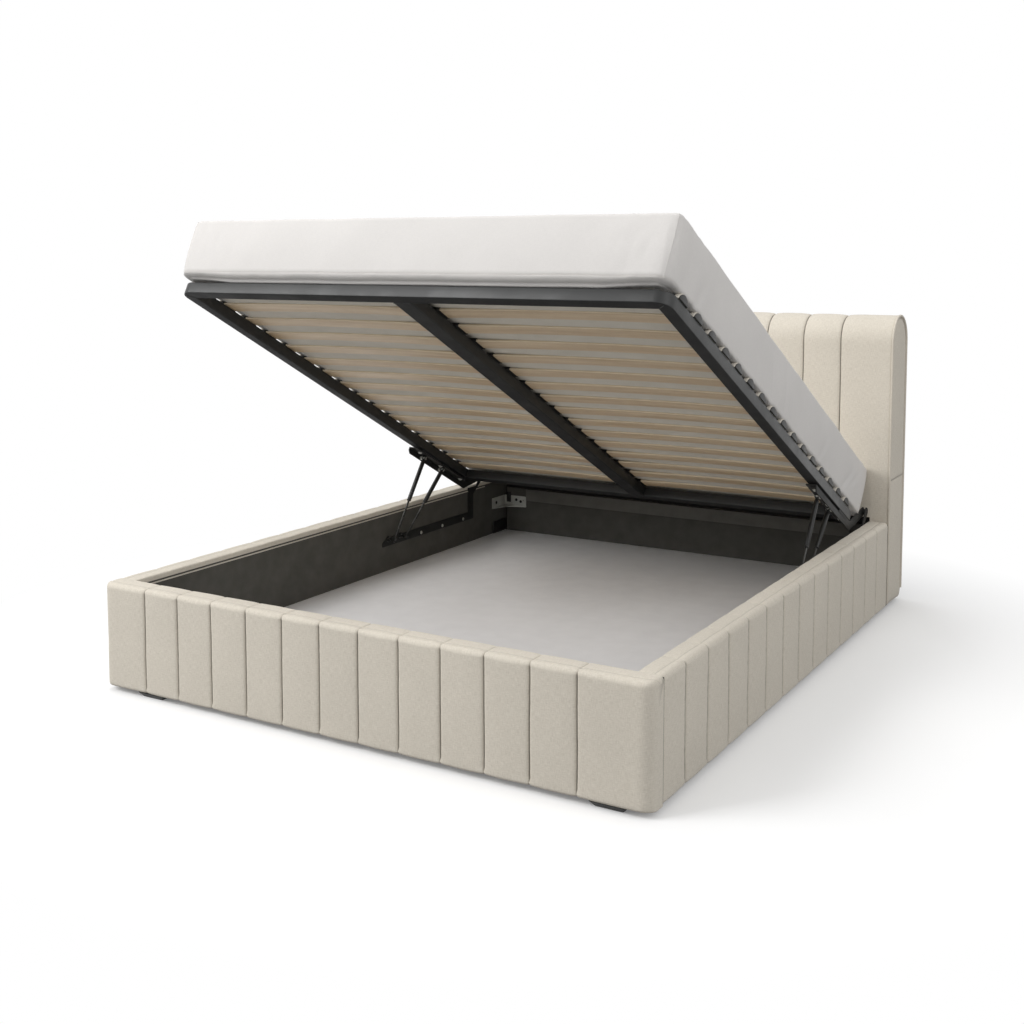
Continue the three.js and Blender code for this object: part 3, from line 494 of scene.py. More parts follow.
class Builder:
    """Collects parts of one piece and turns them into an object."""

    def __init__(self) -> None:
        """Starts with no parts."""
        self.points: list[np.ndarray] = []
        self.faces: list[tuple[int, ...]] = []
        self.layout: list[Point] = []
        self.slots: list[int] = []
        self.seams: list[np.ndarray] = []
        self.count = 0

    def add(self, points: np.ndarray, faces: Sequence[Sequence[int]], layout: Sequence[Point] | None = None,
            slot: int = 0, matrix: Matrix | None = None, seam: np.ndarray | None = None) -> None:
        """Adds one shell.

        Args:
            points: its vertices.
            faces: vertex numbers of each face.
            layout: cloth coordinates of each face corner in turn, or None to lay them by the larger faces.
            slot: the material's place in the piece's list.
            matrix: where the shell goes.
            seam: how much painted shade each vertex takes in the grooves of sewn seams and joints, from 0 to 1.
        """
        points = np.asarray(points, float)
        self.seams.append(np.zeros(len(points)) if seam is None else np.asarray(seam, float).ravel())
        if matrix is not None:
            turn = np.array(matrix)
            points = points @ turn[:3, :3].T + turn[:3, 3]
        if layout is None:
            layout = []
            for face in faces:
                corners = points[list(face)]
                normal = np.abs(np.cross(corners[1] - corners[0], corners[2] - corners[0]))
                keep = [[1, 2], [0, 2], [0, 1]][int(np.argmax(normal))]
                layout.extend(map(tuple, corners[:, keep]))
        self.points.append(points)
        self.faces.extend(tuple(int(i) + self.count for i in face) for face in faces)
        self.layout.extend(layout)
        self.slots.extend([slot] * len(faces))
        self.count += len(points)

    def add_mesh(self, mesh: bpy.types.Mesh, slot: int = 0, matrix: Matrix | None = None) -> None:
        """Adds a Blender mesh and removes it."""
        points = np.empty(len(mesh.vertices) * 3)
        mesh.vertices.foreach_get("co", points)
        faces = [tuple(p.vertices) for p in mesh.polygons]
        bpy.data.meshes.remove(mesh)
        self.add(points.reshape(-1, 3), faces, None, slot, matrix)

    def plate(self, outline: Sequence[Point], thickness: float, matrix: Matrix, holes: Sequence[Sequence[Point]] = (),
              edge: float = 0.0006, slot: int = 0, rounds: int = 1) -> None:
        """Adds a flat plate with eased edges, its middle plane on the matrix's XY plane.

        Args:
            outline: the plate's outline.
            thickness: its whole thickness.
            matrix: where it goes.
            holes: outlines cut out of it.
            edge: radius of the eased edges.
            slot: the material's place in the piece's list.
            rounds: how finely the edges are eased.
        """
        curve = bpy.data.curves.new("plate", "CURVE")
        curve.dimensions, curve.fill_mode = "2D", "BOTH"
        curve.extrude, curve.bevel_depth = thickness / 2 - edge, edge
        curve.bevel_resolution, curve.offset = rounds, -edge
        for ring in (outline, *holes):
            spline = curve.splines.new("POLY")
            spline.points.add(len(ring) - 1)
            spline.points.foreach_set("co", [v for p in ring for v in (*p, 0.0, 1.0)])
            spline.use_cyclic_u = True
        holder = bpy.data.objects.new("plate", curve)
        bpy.context.scene.collection.objects.link(holder)
        bpy.context.view_layer.update()
        mesh = bpy.data.meshes.new_from_object(holder.evaluated_get(bpy.context.evaluated_depsgraph_get()))
        bpy.data.objects.remove(holder)
        bpy.data.curves.remove(curve)
        clean(mesh, 1e-6, outward=False)
        self.add_mesh(mesh, slot, matrix)

    def block(self, low: Sequence[float], high: Sequence[float], edge: float = 0.001, slot: int = 0,
              segments: int = 2, matrix: Matrix | None = None) -> None:
        """Adds a block with rounded edges between two corners."""
        work = bmesh.new()
        low, high = Vector(low), Vector(high)
        bmesh.ops.create_cube(work, size=1.0)
        for vertex in work.verts:
            vertex.co = Vector((l + (h - l) * (c + 0.5) for l, h, c in zip(low, high, vertex.co)))
        bmesh.ops.bevel(work, geom=work.edges[:], offset=edge, segments=segments, profile=0.5, affect="EDGES")
        mesh = bpy.data.meshes.new("block")
        work.to_mesh(mesh)
        work.free()
        self.add_mesh(mesh, slot, matrix)

    def lathe(self, profile: Sequence[Point], matrix: Matrix, steps: int = 28, slot: int = 0) -> None:
        """Adds a turned solid: radius and distance along the matrix's Z, from axis to axis."""
        points, faces = [], []
        rings = []
        for radius, along in profile:
            if radius <= 1e-9:
                rings.append([len(points)])
                points.append((0.0, 0.0, along))
                continue
            rings.append(list(range(len(points), len(points) + steps)))
            points.extend((radius * math.cos(a), radius * math.sin(a), along)
                          for a in np.linspace(0, 2 * math.pi, steps, endpoint=False))
        for lower, upper in zip(rings, rings[1:]):
            for step in range(steps):
                a, b = lower[step % len(lower)], lower[(step + 1) % len(lower)]
                c, d = upper[(step + 1) % len(upper)], upper[step % len(upper)]
                faces.append(tuple(dict.fromkeys((a, b, c, d))))
        self.add(np.array(points), faces, None, slot, matrix)

    def tube(self, path: np.ndarray, radius: float, closed: bool = False, sides: int = 8, slot: int = 0,
             matrix: Matrix | None = None) -> None:
        """Adds a round bar along a path."""
        path = np.asarray(path, float)
        ahead = np.roll(path, -1, 0) - np.roll(path, 1, 0)
        if not closed:
            ahead[0], ahead[-1] = path[1] - path[0], path[-1] - path[-2]
        ahead /= np.linalg.norm(ahead, axis=1)[:, None]
        side = np.cross(ahead[0], (0.0, 0.0, 1.0) if abs(ahead[0][2]) < 0.9 else (1.0, 0.0, 0.0))
        rings = []
        for point, way in zip(path, ahead):
            side = side - way * side.dot(way)
            side /= np.linalg.norm(side)
            up = np.cross(way, side)
            angles = np.linspace(0, 2 * math.pi, sides, endpoint=False)
            rings.append(point + radius * (np.cos(angles)[:, None] * side + np.sin(angles)[:, None] * up))
        points = np.concatenate(rings)
        faces, count = [], len(path)
        for ring in range(count if closed else count - 1):
            after = (ring + 1) % count
            for step in range(sides):
                nxt = (step + 1) % sides
                faces.append((ring * sides + step, ring * sides + nxt, after * sides + nxt, after * sides + step))
        if not closed:
            faces.append(tuple(range(sides))[::-1])
            faces.append(tuple(range((count - 1) * sides, count * sides)))
        self.add(points, faces, None, slot, matrix)

    def screw(self, place: Sequence[float], way: Sequence[float], radius: float, head: float, slot: int = 0,
              hexagon: bool = False) -> None:
        """Adds a screw head on a washer, standing out along way from place."""
        matrix, washer = facing(place, way), radius * 1.45
        self.lathe([(0, 0), (washer, 0), (washer, head * 0.22), (washer * 0.96, head * 0.3), (0, head * 0.3)], matrix,
                   24, slot)
        shank = [(0, head * 0.2), (radius, head * 0.2)]
        if hexagon:
            self.lathe([*shank, (radius, head * 0.85), (radius * 0.85, head), (0, head)], matrix, 6, slot)
            return
        self.lathe([*shank, (radius, head * 0.55), (radius * 0.82, head * 0.9), (radius * 0.5, head),
                    (radius * 0.42, head), (radius * 0.4, head * 0.5), (0, head * 0.5)], matrix, 24, slot)

    def skin(self, points: np.ndarray, along: np.ndarray, girth: np.ndarray, flat: Callable,
             seam: np.ndarray | None = None) -> None:
        """Adds closed rings joined into a skin, with a flat face at each end.

        Args:
            points: rings by points by three.
            along: each ring's place along the cloth.
            girth: each point's place round the ring, with the whole girth last.
            flat: turns the points of an end face into its cloth coordinates.
            seam: how much painted shade each vertex takes in the grooves of sewn seams and joints, from 0 to 1.
        """
        skin, faces, layout = wrapped_grid(points, along, girth)
        count = points.shape[1]
        for cap in (list(range(count))[::-1], list(range(len(skin) - count, len(skin)))):
            faces.append(cap)
            layout.extend(flat(skin[cap]).tolist())
        self.add(skin, faces, layout, seam=seam)

    def make(self, name: str, materials: Sequence[bpy.types.Material], body: str, slot: str,
             matrix: Matrix | None = None, angle: float = 38.0, replaces: str | None = None,
             fill: float | None = None) -> bpy.types.Object:
        """Makes the object and hangs it on its body.

        Args:
            name: the piece's name.
            materials: its materials in slot order.
            body: the moving body it rides on.
            slot: the record's material slot; not used.
            matrix: where the piece's own axes stand at rest.
            angle: sharper edges than this many degrees stay crisp.
            replaces: the CAD node that it stands for.
            fill: how tight it is, where it is a padded piece; not used.

        Returns:
            The object.
        """
        mesh = bpy.data.meshes.new(name)
        mesh.from_pydata(np.concatenate(self.points).tolist(), [], self.faces)
        layer = mesh.uv_layers.new(name="cloth")
        layer.data.foreach_set("uv", np.asarray(self.layout, np.float32).ravel())
        mesh.polygons.foreach_set("material_index", self.slots)
        # the seam attribute carries painted shade, which darkens the cloth in the grooves at seams and joints
        mesh.attributes.new("seam", "FLOAT", "POINT").data.foreach_set("value", np.concatenate(self.seams))
        clean(mesh)
        mesh.shade_smooth()
        mesh.set_sharp_from_angle(angle=math.radians(angle))
        for material in materials:
            mesh.materials.append(material)
        made = bpy.data.objects.new(name, mesh)
        bpy.context.scene.collection.objects.link(made)
        if matrix is not None:
            made.matrix_world = matrix
        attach(made, body)
        if replaces:
            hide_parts(replaces)
        LOG.info("%s: %d faces on %s", name, len(mesh.polygons), body)
        return made


class Ripple:
    """Smooth unevenness, the same on every run, made of a few crossed waves."""

    def __init__(self, seed: int, shortest: float, longest: float, count: int = 16) -> None:
        """Args: seed: which unevenness; shortest, longest: its wavelengths in metres; count: how many waves."""
        source = np.random.default_rng(seed)
        lengths = np.exp(source.uniform(math.log(shortest), math.log(longest), count))
        turns = source.uniform(0, 2 * math.pi, count)
        self.waves = np.stack((np.cos(turns), np.sin(turns)), 1) * (2 * math.pi / lengths)[:, None]
        self.phases = source.uniform(0, 2 * math.pi, count)
        self.level = 1.6 / math.sqrt(count)

    def __call__(self, a: np.ndarray, b: np.ndarray) -> np.ndarray:
        """Returns values of about -1 to 1 for two coordinates in metres."""
        total = sum(np.sin(a * w[0] + b * w[1] + p) for w, p in zip(self.waves, self.phases))
        return total * self.level / 2


def wrapped_grid(points: np.ndarray, along: np.ndarray, girth: np.ndarray) -> tuple[np.ndarray, list, list]:
    """Joins closed rings into a skin.

    Args:
        points: rings by points by three.
        along: each ring's place along the cloth.
        girth: each point's place round the ring, with the whole girth last.

    Returns:
        Vertices, faces and cloth coordinates of the face corners.
    """
    rings, count = points.shape[:2]
    ring, step = np.meshgrid(np.arange(rings - 1), np.arange(count), indexing="ij")
    after = (step + 1) % count
    faces = np.stack((ring * count + step, ring * count + after, (ring + 1) * count + after,
                      (ring + 1) * count + step), -1).reshape(-1, 4)
    near, far = girth[step], girth[step + 1]
    start, end = along[ring], along[ring + 1]
    layout = np.stack((np.stack((start, near), -1), np.stack((start, far), -1), np.stack((end, far), -1),
                       np.stack((end, near), -1)), -2).reshape(-1, 2)
    return points.reshape(-1, 3), faces.tolist(), layout.tolist()


@dataclass
class LiftLayout:
    """Where the lifting platform stands at rest and where its pivots are."""

    angle: float = 27.2
    hinge: Point = (0.8795, 0.359)
    hinge_on_frame: Point = (0.1509, 0.0795)
    half: float = 0.799
    pivot_drop: float = 0.022
    strut_inset: float = 0.021
    eye: float = 0.016

    def matrix(self) -> Matrix:
        """Returns the open platform's place."""
        turn = Matrix.Rotation(math.radians(-self.angle), 4, "X")
        shift = Vector((0, *self.hinge)) - turn @ Vector((0, *self.hinge_on_frame))
        return Matrix.Translation(shift) @ turn

    def eye_outline(self, hinge: Point) -> list[Point]:
        """Returns the round end of a plate, open towards the foot, about its hinge."""
        return arc(hinge, self.eye, -60, 126, 14)


@dataclass
class Part:
    """A group of pieces of the bed, with the finishes and the places that they share."""

    finishes: Finishes
    layout: LiftLayout

    def build(self) -> None:
        """Makes the pieces."""
        raise NotImplementedError


# ---------------------------------------------------------------- upholstery


@dataclass(frozen=True)
class Channel:
    """How padded cloth falls into its sewn seams."""

    depth: float = 0.0074
    roll: float = 0.0105
    fullness: float = 0.003
    pucker: float = 0.0005
    pucker_reach: float = 0.016
    pucker_clear: float = 0.003
    slack: float = 0.0005
    wander: float = 0.0006
    shade_width: float = 0.0017

    def shape(self, along: np.ndarray, girth: np.ndarray, seams: Sequence[float], half: float,
              seed: int) -> tuple[np.ndarray, np.ndarray]:
        """Works out how the cloth lies.

        Args:
            along: each station's place along the pad.
            girth: each row's place round the pad.
            seams: where the seams lie.
            half: half a panel's width.
            seed: picks the unevenness.

        Returns:
            How deep the cloth lies below its full height, in metres, and how much painted shade it takes along a sewn
            line, from 0 to 1, both as stations by rows.
        """
        grid_a, grid_g = np.meshgrid(along, girth, indexing="ij")
        lines = np.array(seams)
        nearest = lines[np.argmin(np.abs(grid_a[..., None] - lines), -1)]
        drift = Ripple(seed, 0.12, 0.5)(nearest * 7.0, grid_g) * self.wander
        away, side = np.abs(grid_a - nearest - drift), np.sign(grid_a - nearest)
        fall = np.clip(1 - away / self.roll, 0, 1)
        sink = self.depth * (1 - np.sqrt(np.clip(1 - fall**2, 0, 1)))
        sink += self.fullness * np.clip(1 - away / half, 0, 1) ** 2
        wrinkle = Ripple(seed + 1, 0.009, 0.03, 24)(nearest * 13.0 + side, grid_g)
        sink += self.pucker * wrinkle * np.exp(-away / self.pucker_reach) * np.clip(away / self.pucker_clear, 0, 1)
        sink += self.slack * Ripple(seed + 2, 0.06, 0.3)(grid_a, grid_g)
        # the second result is painted shade along the seam line
        return np.clip(sink, 0.0, None), np.exp(-((away / self.shade_width) ** 2))


def stations(start: float, end: float, seams: Sequence[float], step: float = 0.009) -> np.ndarray:
    """Returns places along a pad, close together at each seam."""
    near = (0.0, 0.0006, 0.0014, 0.0026, 0.0042, 0.0064, 0.0092, 0.013)
    places = {start, end}
    for seam in seams:
        places.update(seam + sign * offset for offset in near for sign in (-1, 1))
    marks = sorted(p for p in places if start <= p <= end)
    out = [marks[0]]
    for low, high in zip(marks, marks[1:]):
        parts = max(1, round((high - low) / step))
        out.extend(low + (high - low) * (k + 1) / parts for k in range(parts))
    return np.array(sorted(set(np.round(out, 6))))


def round_drop(distance: np.ndarray, radius: float) -> np.ndarray:
    """Returns how far a rounded edge has fallen at a distance from that edge."""
    reach = np.clip(radius - distance, 0, radius)
    return radius - np.sqrt(np.clip(radius**2 - reach**2, 0, None))


@dataclass
class RailSection:
    """The closed section of a padded rail cover, as depth from the outer face and height."""

    bottom: float = 0.015
    top: float = 0.322
    depth: float = 0.069
    board_face: float = 0.0447
    board_top: float = 0.3063
    edge: float = 0.016
    hem: float = 0.01
    hem_reach: float = 0.04
    inner_edge: float = 0.006
    top_seam: float = 0.026
    top_weight: float = 0.38
    seam_sink: float = 0.0014
    seam_roll: float = 0.0035
    seam_shade_width: float = 0.0014
    seam_shade: float = 0.4

    def rows(self) -> np.ndarray:
        """Returns rows of depth, height, inward depth, inward height, seam weight and whether they touch the board."""
        low, high = self.bottom + self.hem, self.top - self.edge
        inner, fall = self.depth - self.inner_edge, self.top - self.inner_edge
        seam = self.top_seam + np.array((-0.008, -0.004, -0.0018, 0.0, 0.0018, 0.004, 0.008))
        across = (*seam, *np.linspace(self.top_seam + 0.014, inner, 4))
        lighter = 1.0 - self.top_weight
        out = [(x, self.bottom, 0.0, 1.0, 0.3, 0.0) for x in np.linspace(self.hem_reach, self.hem, 4)]
        out += [(*row, 0.45, 0.0) for row in bend((self.hem, low), self.hem, 255, 180, 6)]
        out += [(0.0, z, 1.0, 0.0, 1.0, 0.0) for z in np.linspace(low, high, 30)[1:]]
        out += [(*row, 1.0 + lighter * row[3], 0.0) for row in bend((self.edge, high), self.edge, 180, 90, 13)[1:]]
        out += [(x, self.top, 0.0, -1.0, self.top_weight, 0.0) for x in across]
        out += [(*row, 0.25, 0.0) for row in bend((inner, fall), self.inner_edge, 90, 0, 5)[1:]]
        out += [(self.depth, z, -1.0, 0.0, 0.0, 0.0) for z in np.linspace(fall, self.board_top, 4)[1:]]
        out += [(self.board_face, z, 0.0, 0.0, 0.0, 1.0) for z in (self.board_top, self.bottom)]
        return np.array(out)

    def top_line(self, rows: np.ndarray, width: float) -> np.ndarray:
        """Returns, for each row, how near it lies to the sewn line along the top, from 0 to 1."""
        on_top = rows[:, 1] > self.top - 1e-6
        return np.where(on_top, np.exp(-(((rows[:, 0] - self.top_seam) / width) ** 2)), 0.0)


class PadEnd(Enum):
    """How a rail cover ends."""

    CORNER = "turned round the foot corner"
    BUTT = "sewn square"
    SHOULDER = "softly rounded"


@dataclass
class RailCovers(Part):
    """The three padded, channelled rail covers."""

    foot_pitch: float = 0.12727
    foot_shift: float = -0.012
    foot_seams: int = 12
    corner_radius: float = 0.034
    side_start: float = 0.061
    side_panels: int = 14
    box_length: float = 2.026
    shoulder: float = 0.013
    joint: float = 0.005
    joint_shade: float = 0.5
    joint_shade_width: float = 0.003
    shoulder_shade: float = 0.8
    shade_strip_reach: float = 0.05
    shade_strip_inset: float = 0.0016
    section: RailSection = field(default_factory=RailSection)
    foot_channel: Channel = field(default_factory=lambda: Channel(shade_width=0.0015))
    side_channel: Channel = field(default_factory=lambda: Channel(shade_width=0.0027))

    def _skin(self, along: np.ndarray, seams: Sequence[float], half: float, seed: int, ends: tuple[PadEnd, PadEnd],
              solid_from: float = math.inf) -> tuple[np.ndarray, np.ndarray, np.ndarray]:
        """Shapes one cover in its own coordinates.

        Args:
            along: places along the rail.
            seams: where its seams lie.
            half: half a panel's width.
            seed: picks the unevenness.
            ends: how it starts and ends.
            solid_from: beyond this distance from the middle the cover fills the rail's whole depth.

        Returns:
            Stations by rows of place along, depth and height; the girth of the rows; and the painted shade of each
            vertex near seams and joints.
        """
        shape, rows = self.section, self.section.rows()
        depth, height, in_depth, in_height, weight, backing = rows.T[:, None, :]
        girth = run(rows[:, :2])
        channel = self.foot_channel if ends[0] is PadEnd.CORNER else self.side_channel
        sink, line = channel.shape(along, girth, seams, half, seed)
        sink = sink * weight + shape.seam_sink * shape.top_line(rows, shape.seam_roll)
        # painted shade along the channel seams and along the sewn line on the top
        line = np.maximum(line * weight**2, shape.seam_shade * shape.top_line(rows, shape.seam_shade_width))
        at_back = depth > 0.05
        depth, height = depth + sink * in_depth, height + sink * in_height
        depth = np.where((backing > 0.5) & (np.abs(along)[:, None] > solid_from), shape.depth, depth)
        for end, edge in zip(ends, (along[0], along[-1])):
            if end is PadEnd.BUTT:
                continue
            away = np.abs(along - edge)
            radius = self.corner_radius if end is PadEnd.CORNER else self.shoulder
            drop = round_drop(away, radius)[:, None]
            depth = drop + depth * (shape.depth - drop) / shape.depth
            if end is PadEnd.CORNER:
                # painted shade in the groove of the corner joint
                shade = self.joint_shade * np.exp(-((away[:, None] / self.joint_shade_width) ** 2)) * at_back
                tuck = round_drop(away, self.joint)[:, None]
                depth = depth - tuck * (depth - drop) / (shape.depth - drop)
            else:
                # painted shade where the rounded end meets the headboard
                shade = self.shoulder_shade * np.exp(-((away[:, None] / self.joint) ** 2)) * weight
            line = np.maximum(line, shade)
            fall = round_drop(away, min(radius, shape.edge) * 0.9)[:, None]
            height = height - fall * np.clip((height - (shape.top - shape.edge)) / shape.edge, 0, 1)
        spread = np.broadcast_to(along[:, None], depth.shape)
        whole = girth[-1] + shape.board_face - shape.hem_reach
        return np.stack((spread, depth, height), -1), np.append(girth, whole), line

    def _finish(self, name: str, skin: np.ndarray, girth: np.ndarray, line: np.ndarray, flip: bool = False) -> None:
        """Closes a cover's ends and dresses it.

        Args:
            name: the node that it stands for.
            skin: its vertices, stations by rows.
            girth: the rows' places round it.
            line: each vertex's painted shade near seams and joints.
            flip: whether its cloth coordinates run the other way.
        """
        face_row = 20
        along = run(skin[:, face_row])
        builder = Builder()
        builder.skin(skin, -along if flip else along, girth, lambda p: np.stack((p[:, 0] + p[:, 1], p[:, 2]), -1), line)
        builder.make(f"{name}_cloth", [self.finishes.upholstery], "bed", "upholstery", angle=70.0, replaces=name,
                     fill=0.85)

    def foot(self) -> None:
        """Makes the foot rail's cover, which turns round both foot corners."""
        low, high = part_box("foot_rail_cover")
        half = (high[0] - low[0]) / 2
        seams = [self.foot_shift + (k - (self.foot_seams - 1) / 2) * self.foot_pitch for k in range(self.foot_seams)]
        solid, flat = half - self.section.board_face - SEAT, half - self.corner_radius
        turns = np.concatenate((bunched(self.corner_radius, 10), bunched(self.joint))) - half
        along = merged(stations(-flat, flat, [*seams, -solid, solid]), turns, -turns)
        ends = (PadEnd.CORNER, PadEnd.CORNER)
        skin, girth, line = self._skin(along, seams, self.foot_pitch / 2, 11, ends, solid)
        self._finish("foot_rail_cover", skin + np.array((0.0, low[1], 0.0)), girth, line)

    def side(self, name: str, side: int) -> None:
        """Makes one side rail's cover."""
        low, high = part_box(f"{name}_rail_cover")
        pitch = (self.box_length - self.side_start) / self.side_panels
        first = self.side_start - HALF_LENGTH
        seams = [low[1] - 0.001] + [first + pitch * (k + 1) for k in range(self.side_panels - 1)]
        start, end = float(low[1]), float(high[1])
        along = merged(stations(start, end - self.shoulder, seams), end - bunched(self.shoulder))
        skin, girth, line = self._skin(along, seams, pitch / 2, 23 + side, (PadEnd.BUTT, PadEnd.SHOULDER))
        outer = max(abs(low[0]), abs(high[0]))
        placed = np.stack((side * (outer - skin[..., 1]), skin[..., 0], skin[..., 2]), -1)
        self._finish(f"{name}_rail_cover", placed, girth, line, side > 0)

    def joints(self) -> None:
        """Puts dark strips into the joints between the covers, and between the sides and the headboard, as painted
        shade in their grooves.
        """
        builder = Builder()
        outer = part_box("foot_rail_cover")[1][0]
        foot_end, head_end = (corner[1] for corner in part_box("right_rail_cover"))
        bottom = self.section.bottom + 0.004
        for place, front, back, drop in ((foot_end, 0.0014, 0.0012, 0.005), (head_end, 0.0055, 0.004, 0.009)):
            for side in (-1, 1):
                near, far = sorted((side * (outer - self.shade_strip_reach), side * (outer - self.shade_strip_inset)))
                # each dark strip stands in for the shade in a joint's groove
                builder.block((near, place - front, bottom), (far, place + back, self.section.top - drop), 0.0004)
        builder.make("joint_tapes", [self.finishes.lining], "bed", "lined_board")

    def build(self) -> None:
        """Makes all three covers and the dark strips of painted shade in their joints."""
        self.foot()
        for name, side in SIDES.items():
            self.side(name, side)
        self.joints()


@dataclass
class Headboard(Part):
    """The channelled headboard, rounded over its top, with boxed and piped sides."""

    pitch: float = 0.1384
    seam_count: int = 11
    seed: int = 41
    edge: float = 0.007
    hem: float = 0.008
    board_half: float = 0.8483
    board_top: float = 0.9493
    board_depth: float = 0.0283
    throat_half: float = 0.8125
    throat_top: float = 0.332
    throat_blend: float = 0.45
    cheek_fullness: float = 0.003
    cheek_groove: float = 0.0022
    low_corner: float = 0.028
    piping_radius: float = 0.0046
    join_height: float = 0.47
    join_shade: float = 0.8
    rim_shade: float = 0.45
    staple_inset: float = 0.012
    staple_pitch: float = 0.062
    channel: Channel = field(default_factory=lambda: Channel(depth=0.0085, roll=0.014, fullness=0.003))

    def __post_init__(self) -> None:
        """Reads the headboard's place from the frame."""
        self.low, self.high = (Vector(v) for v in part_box("headboard_pad"))
        self.radius = (self.high.y - self.low.y) / 2
        self.middle = (self.high.y + self.low.y) / 2
        self.shoulder = self.high.z - self.radius

    def _rows(self) -> np.ndarray:
        """Returns rows of y, z, inward y, inward z, seam weight and whether they belong to the recess."""
        low, hem, front, back = self.low.z, self.hem, self.low.y, self.high.y
        join = self.join_height + np.array((-0.01, -0.006, -0.003, 0.0, 0.003, 0.006, 0.01))
        up = np.sort((*np.linspace(low + hem, self.shoulder, 96)[1:], *join))
        down = np.sort((*np.linspace(self.board_top, low + self.low_corner + 0.01, 11), *join))[::-1]
        fading = np.clip(1 - (np.radians(np.linspace(0, 180, 41)) - 2.2) / 0.94, 0, 1)
        over = np.column_stack((bend((self.middle, self.shoulder), self.radius, 180, 0, 41), fading))[1:]
        out = [(front + y, low, 0, 1, 0.2, 0) for y in np.linspace(0.06, hem, 4)]
        out += [(*row, 0.9, 0) for row in bend((front + hem, low + hem), hem, 255, 180, 6)]
        out += [(front, z, 1, 0, 1, 0) for z in up]
        out += [(*row, 0) for row in over]
        out += [(back, self.board_top + 0.004, -1, 0, 0, 0), (back, self.board_top, 0, 0, 0, 0)]
        out += [(back - self.board_depth, z, 0, 0, 0, 1) for z in (*down, *(low + bunched(self.low_corner)))]
        return np.array(out)

    def pad(self) -> None:
        """Makes the padded body with its rounded side edges and full cheeks."""
        half = self.high.x
        seams = [(k - (self.seam_count - 1) / 2) * self.pitch for k in range(self.seam_count)]
        sides = (-self.board_half, -self.throat_half, self.throat_half, self.board_half)
        turn = bunched(self.edge) - half
        along = merged(stations(-half + self.edge, half - self.edge, [*seams, *sides]), turn, -turn)
        rows, place = self._rows(), np.abs(along)[:, None]
        y, z, in_y, in_z, weight, recess = rows.T[:, None, :]
        girth = run(rows[:, :2])
        sink, line = self.channel.shape(along, girth, seams, self.pitch / 2, self.seed)
        sink = sink * weight + round_drop(half - place, self.edge) * (recess < 0.5)
        # line: painted shade along the channel seams
        line = line * (weight > 0.2)
        cheek = (recess > 0.5) & (place > self.board_half)
        curve = self.high.y - round_drop(z - self.low.z, self.low_corner)
        top = cheek & (z >= self.board_top)
        y = np.where(cheek, curve, y + sink * in_y)
        z = np.where(top, self.board_top - 0.004, z + sink * in_z)
        stretch = (self.throat_blend - self.throat_top) / (self.throat_blend - self.low.z)
        throat = (place < self.throat_half) & (z < self.throat_blend)
        z = np.where(throat, self.throat_top + (z - self.low.z) * stretch, z)
        skin = np.stack((np.broadcast_to(along[:, None], y.shape), y, z), -1)
        points, faces, layout = wrapped_grid(skin, along, np.append(girth, girth[-1] + 0.08))
        builder = Builder()
        builder.add(points, faces, layout, seam=line)
        for side, ring in ((-1, skin[0]), (1, skin[-1])):
            self._cheek(builder, ring, side)
        made = builder.make("headboard_pad_cloth", [self.finishes.upholstery], "bed", "upholstery", angle=60.0)
        clean(made.data, 2e-5)
        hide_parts("headboard_pad")

    def _cheek(self, builder: Builder, ring: np.ndarray, side: int) -> None:
        """Adds one boxed side, crowned and drawn in along its join.

        Args:
            builder: the pad's builder.
            ring: the pad's last ring on that side.
            side: -1 for left, 1 for right.
        """
        core_z = np.clip(ring[:, 2], self.low.z + self.radius * 0.9, self.shoulder)
        core = np.stack((ring[:, 0], np.full(len(ring), self.middle), core_z), -1)
        shells = []
        for share in (0.0, 0.03, 0.09, *np.linspace(0.09, 1.0, 9)[1:]):
            shell = ring + (core - ring) * share
            crown = self.cheek_fullness * math.sin(math.pi / 2 * min(1.0, share * 2.2))
            sewn = np.exp(-(((shell[:, 2] - self.join_height) / 0.004) ** 2)) * min(1.0, share * 6)
            shell[:, 0] = ring[:, 0] + side * (crown - self.cheek_groove * sewn)
            shells.append(shell)
        steps, count = len(shells), len(ring)
        points, faces, _ = wrapped_grid(np.stack(shells), np.zeros(steps), np.zeros(count + 1))
        # painted shade: a dark line at the rim by the piping, and along the join
        rim = np.repeat(np.where(np.arange(steps) == 1, self.rim_shade, 0.0), count)
        join = self.join_shade * np.exp(-(((points[:, 2] - self.join_height) / 0.003) ** 2))
        layout = points[np.array(faces).ravel(), 1:].tolist()
        builder.add(points, faces, layout, seam=np.maximum(rim, join))

    def piping(self) -> None:
        """Makes the piping round both boxed sides, front and back."""
        builder = Builder()
        inset = self.edge * 0.2
        path = [(self.low.y + inset, z) for z in np.linspace(self.low.z + 0.012, self.shoulder, 40)]
        path += arc((self.middle, self.shoulder), self.radius - inset, 180, 0, 48)[1:]
        path += [(self.high.y - inset, z) for z in np.linspace(self.shoulder, self.low.z + self.low_corner, 40)[1:]]
        for side in (-1, 1):
            x = side * (self.high.x + self.piping_radius * 0.3)
            builder.tube(np.array([(x, *point) for point in path]), self.piping_radius, sides=10)
        builder.make("headboard_piping", [self.finishes.piping], "bed", "upholstery")

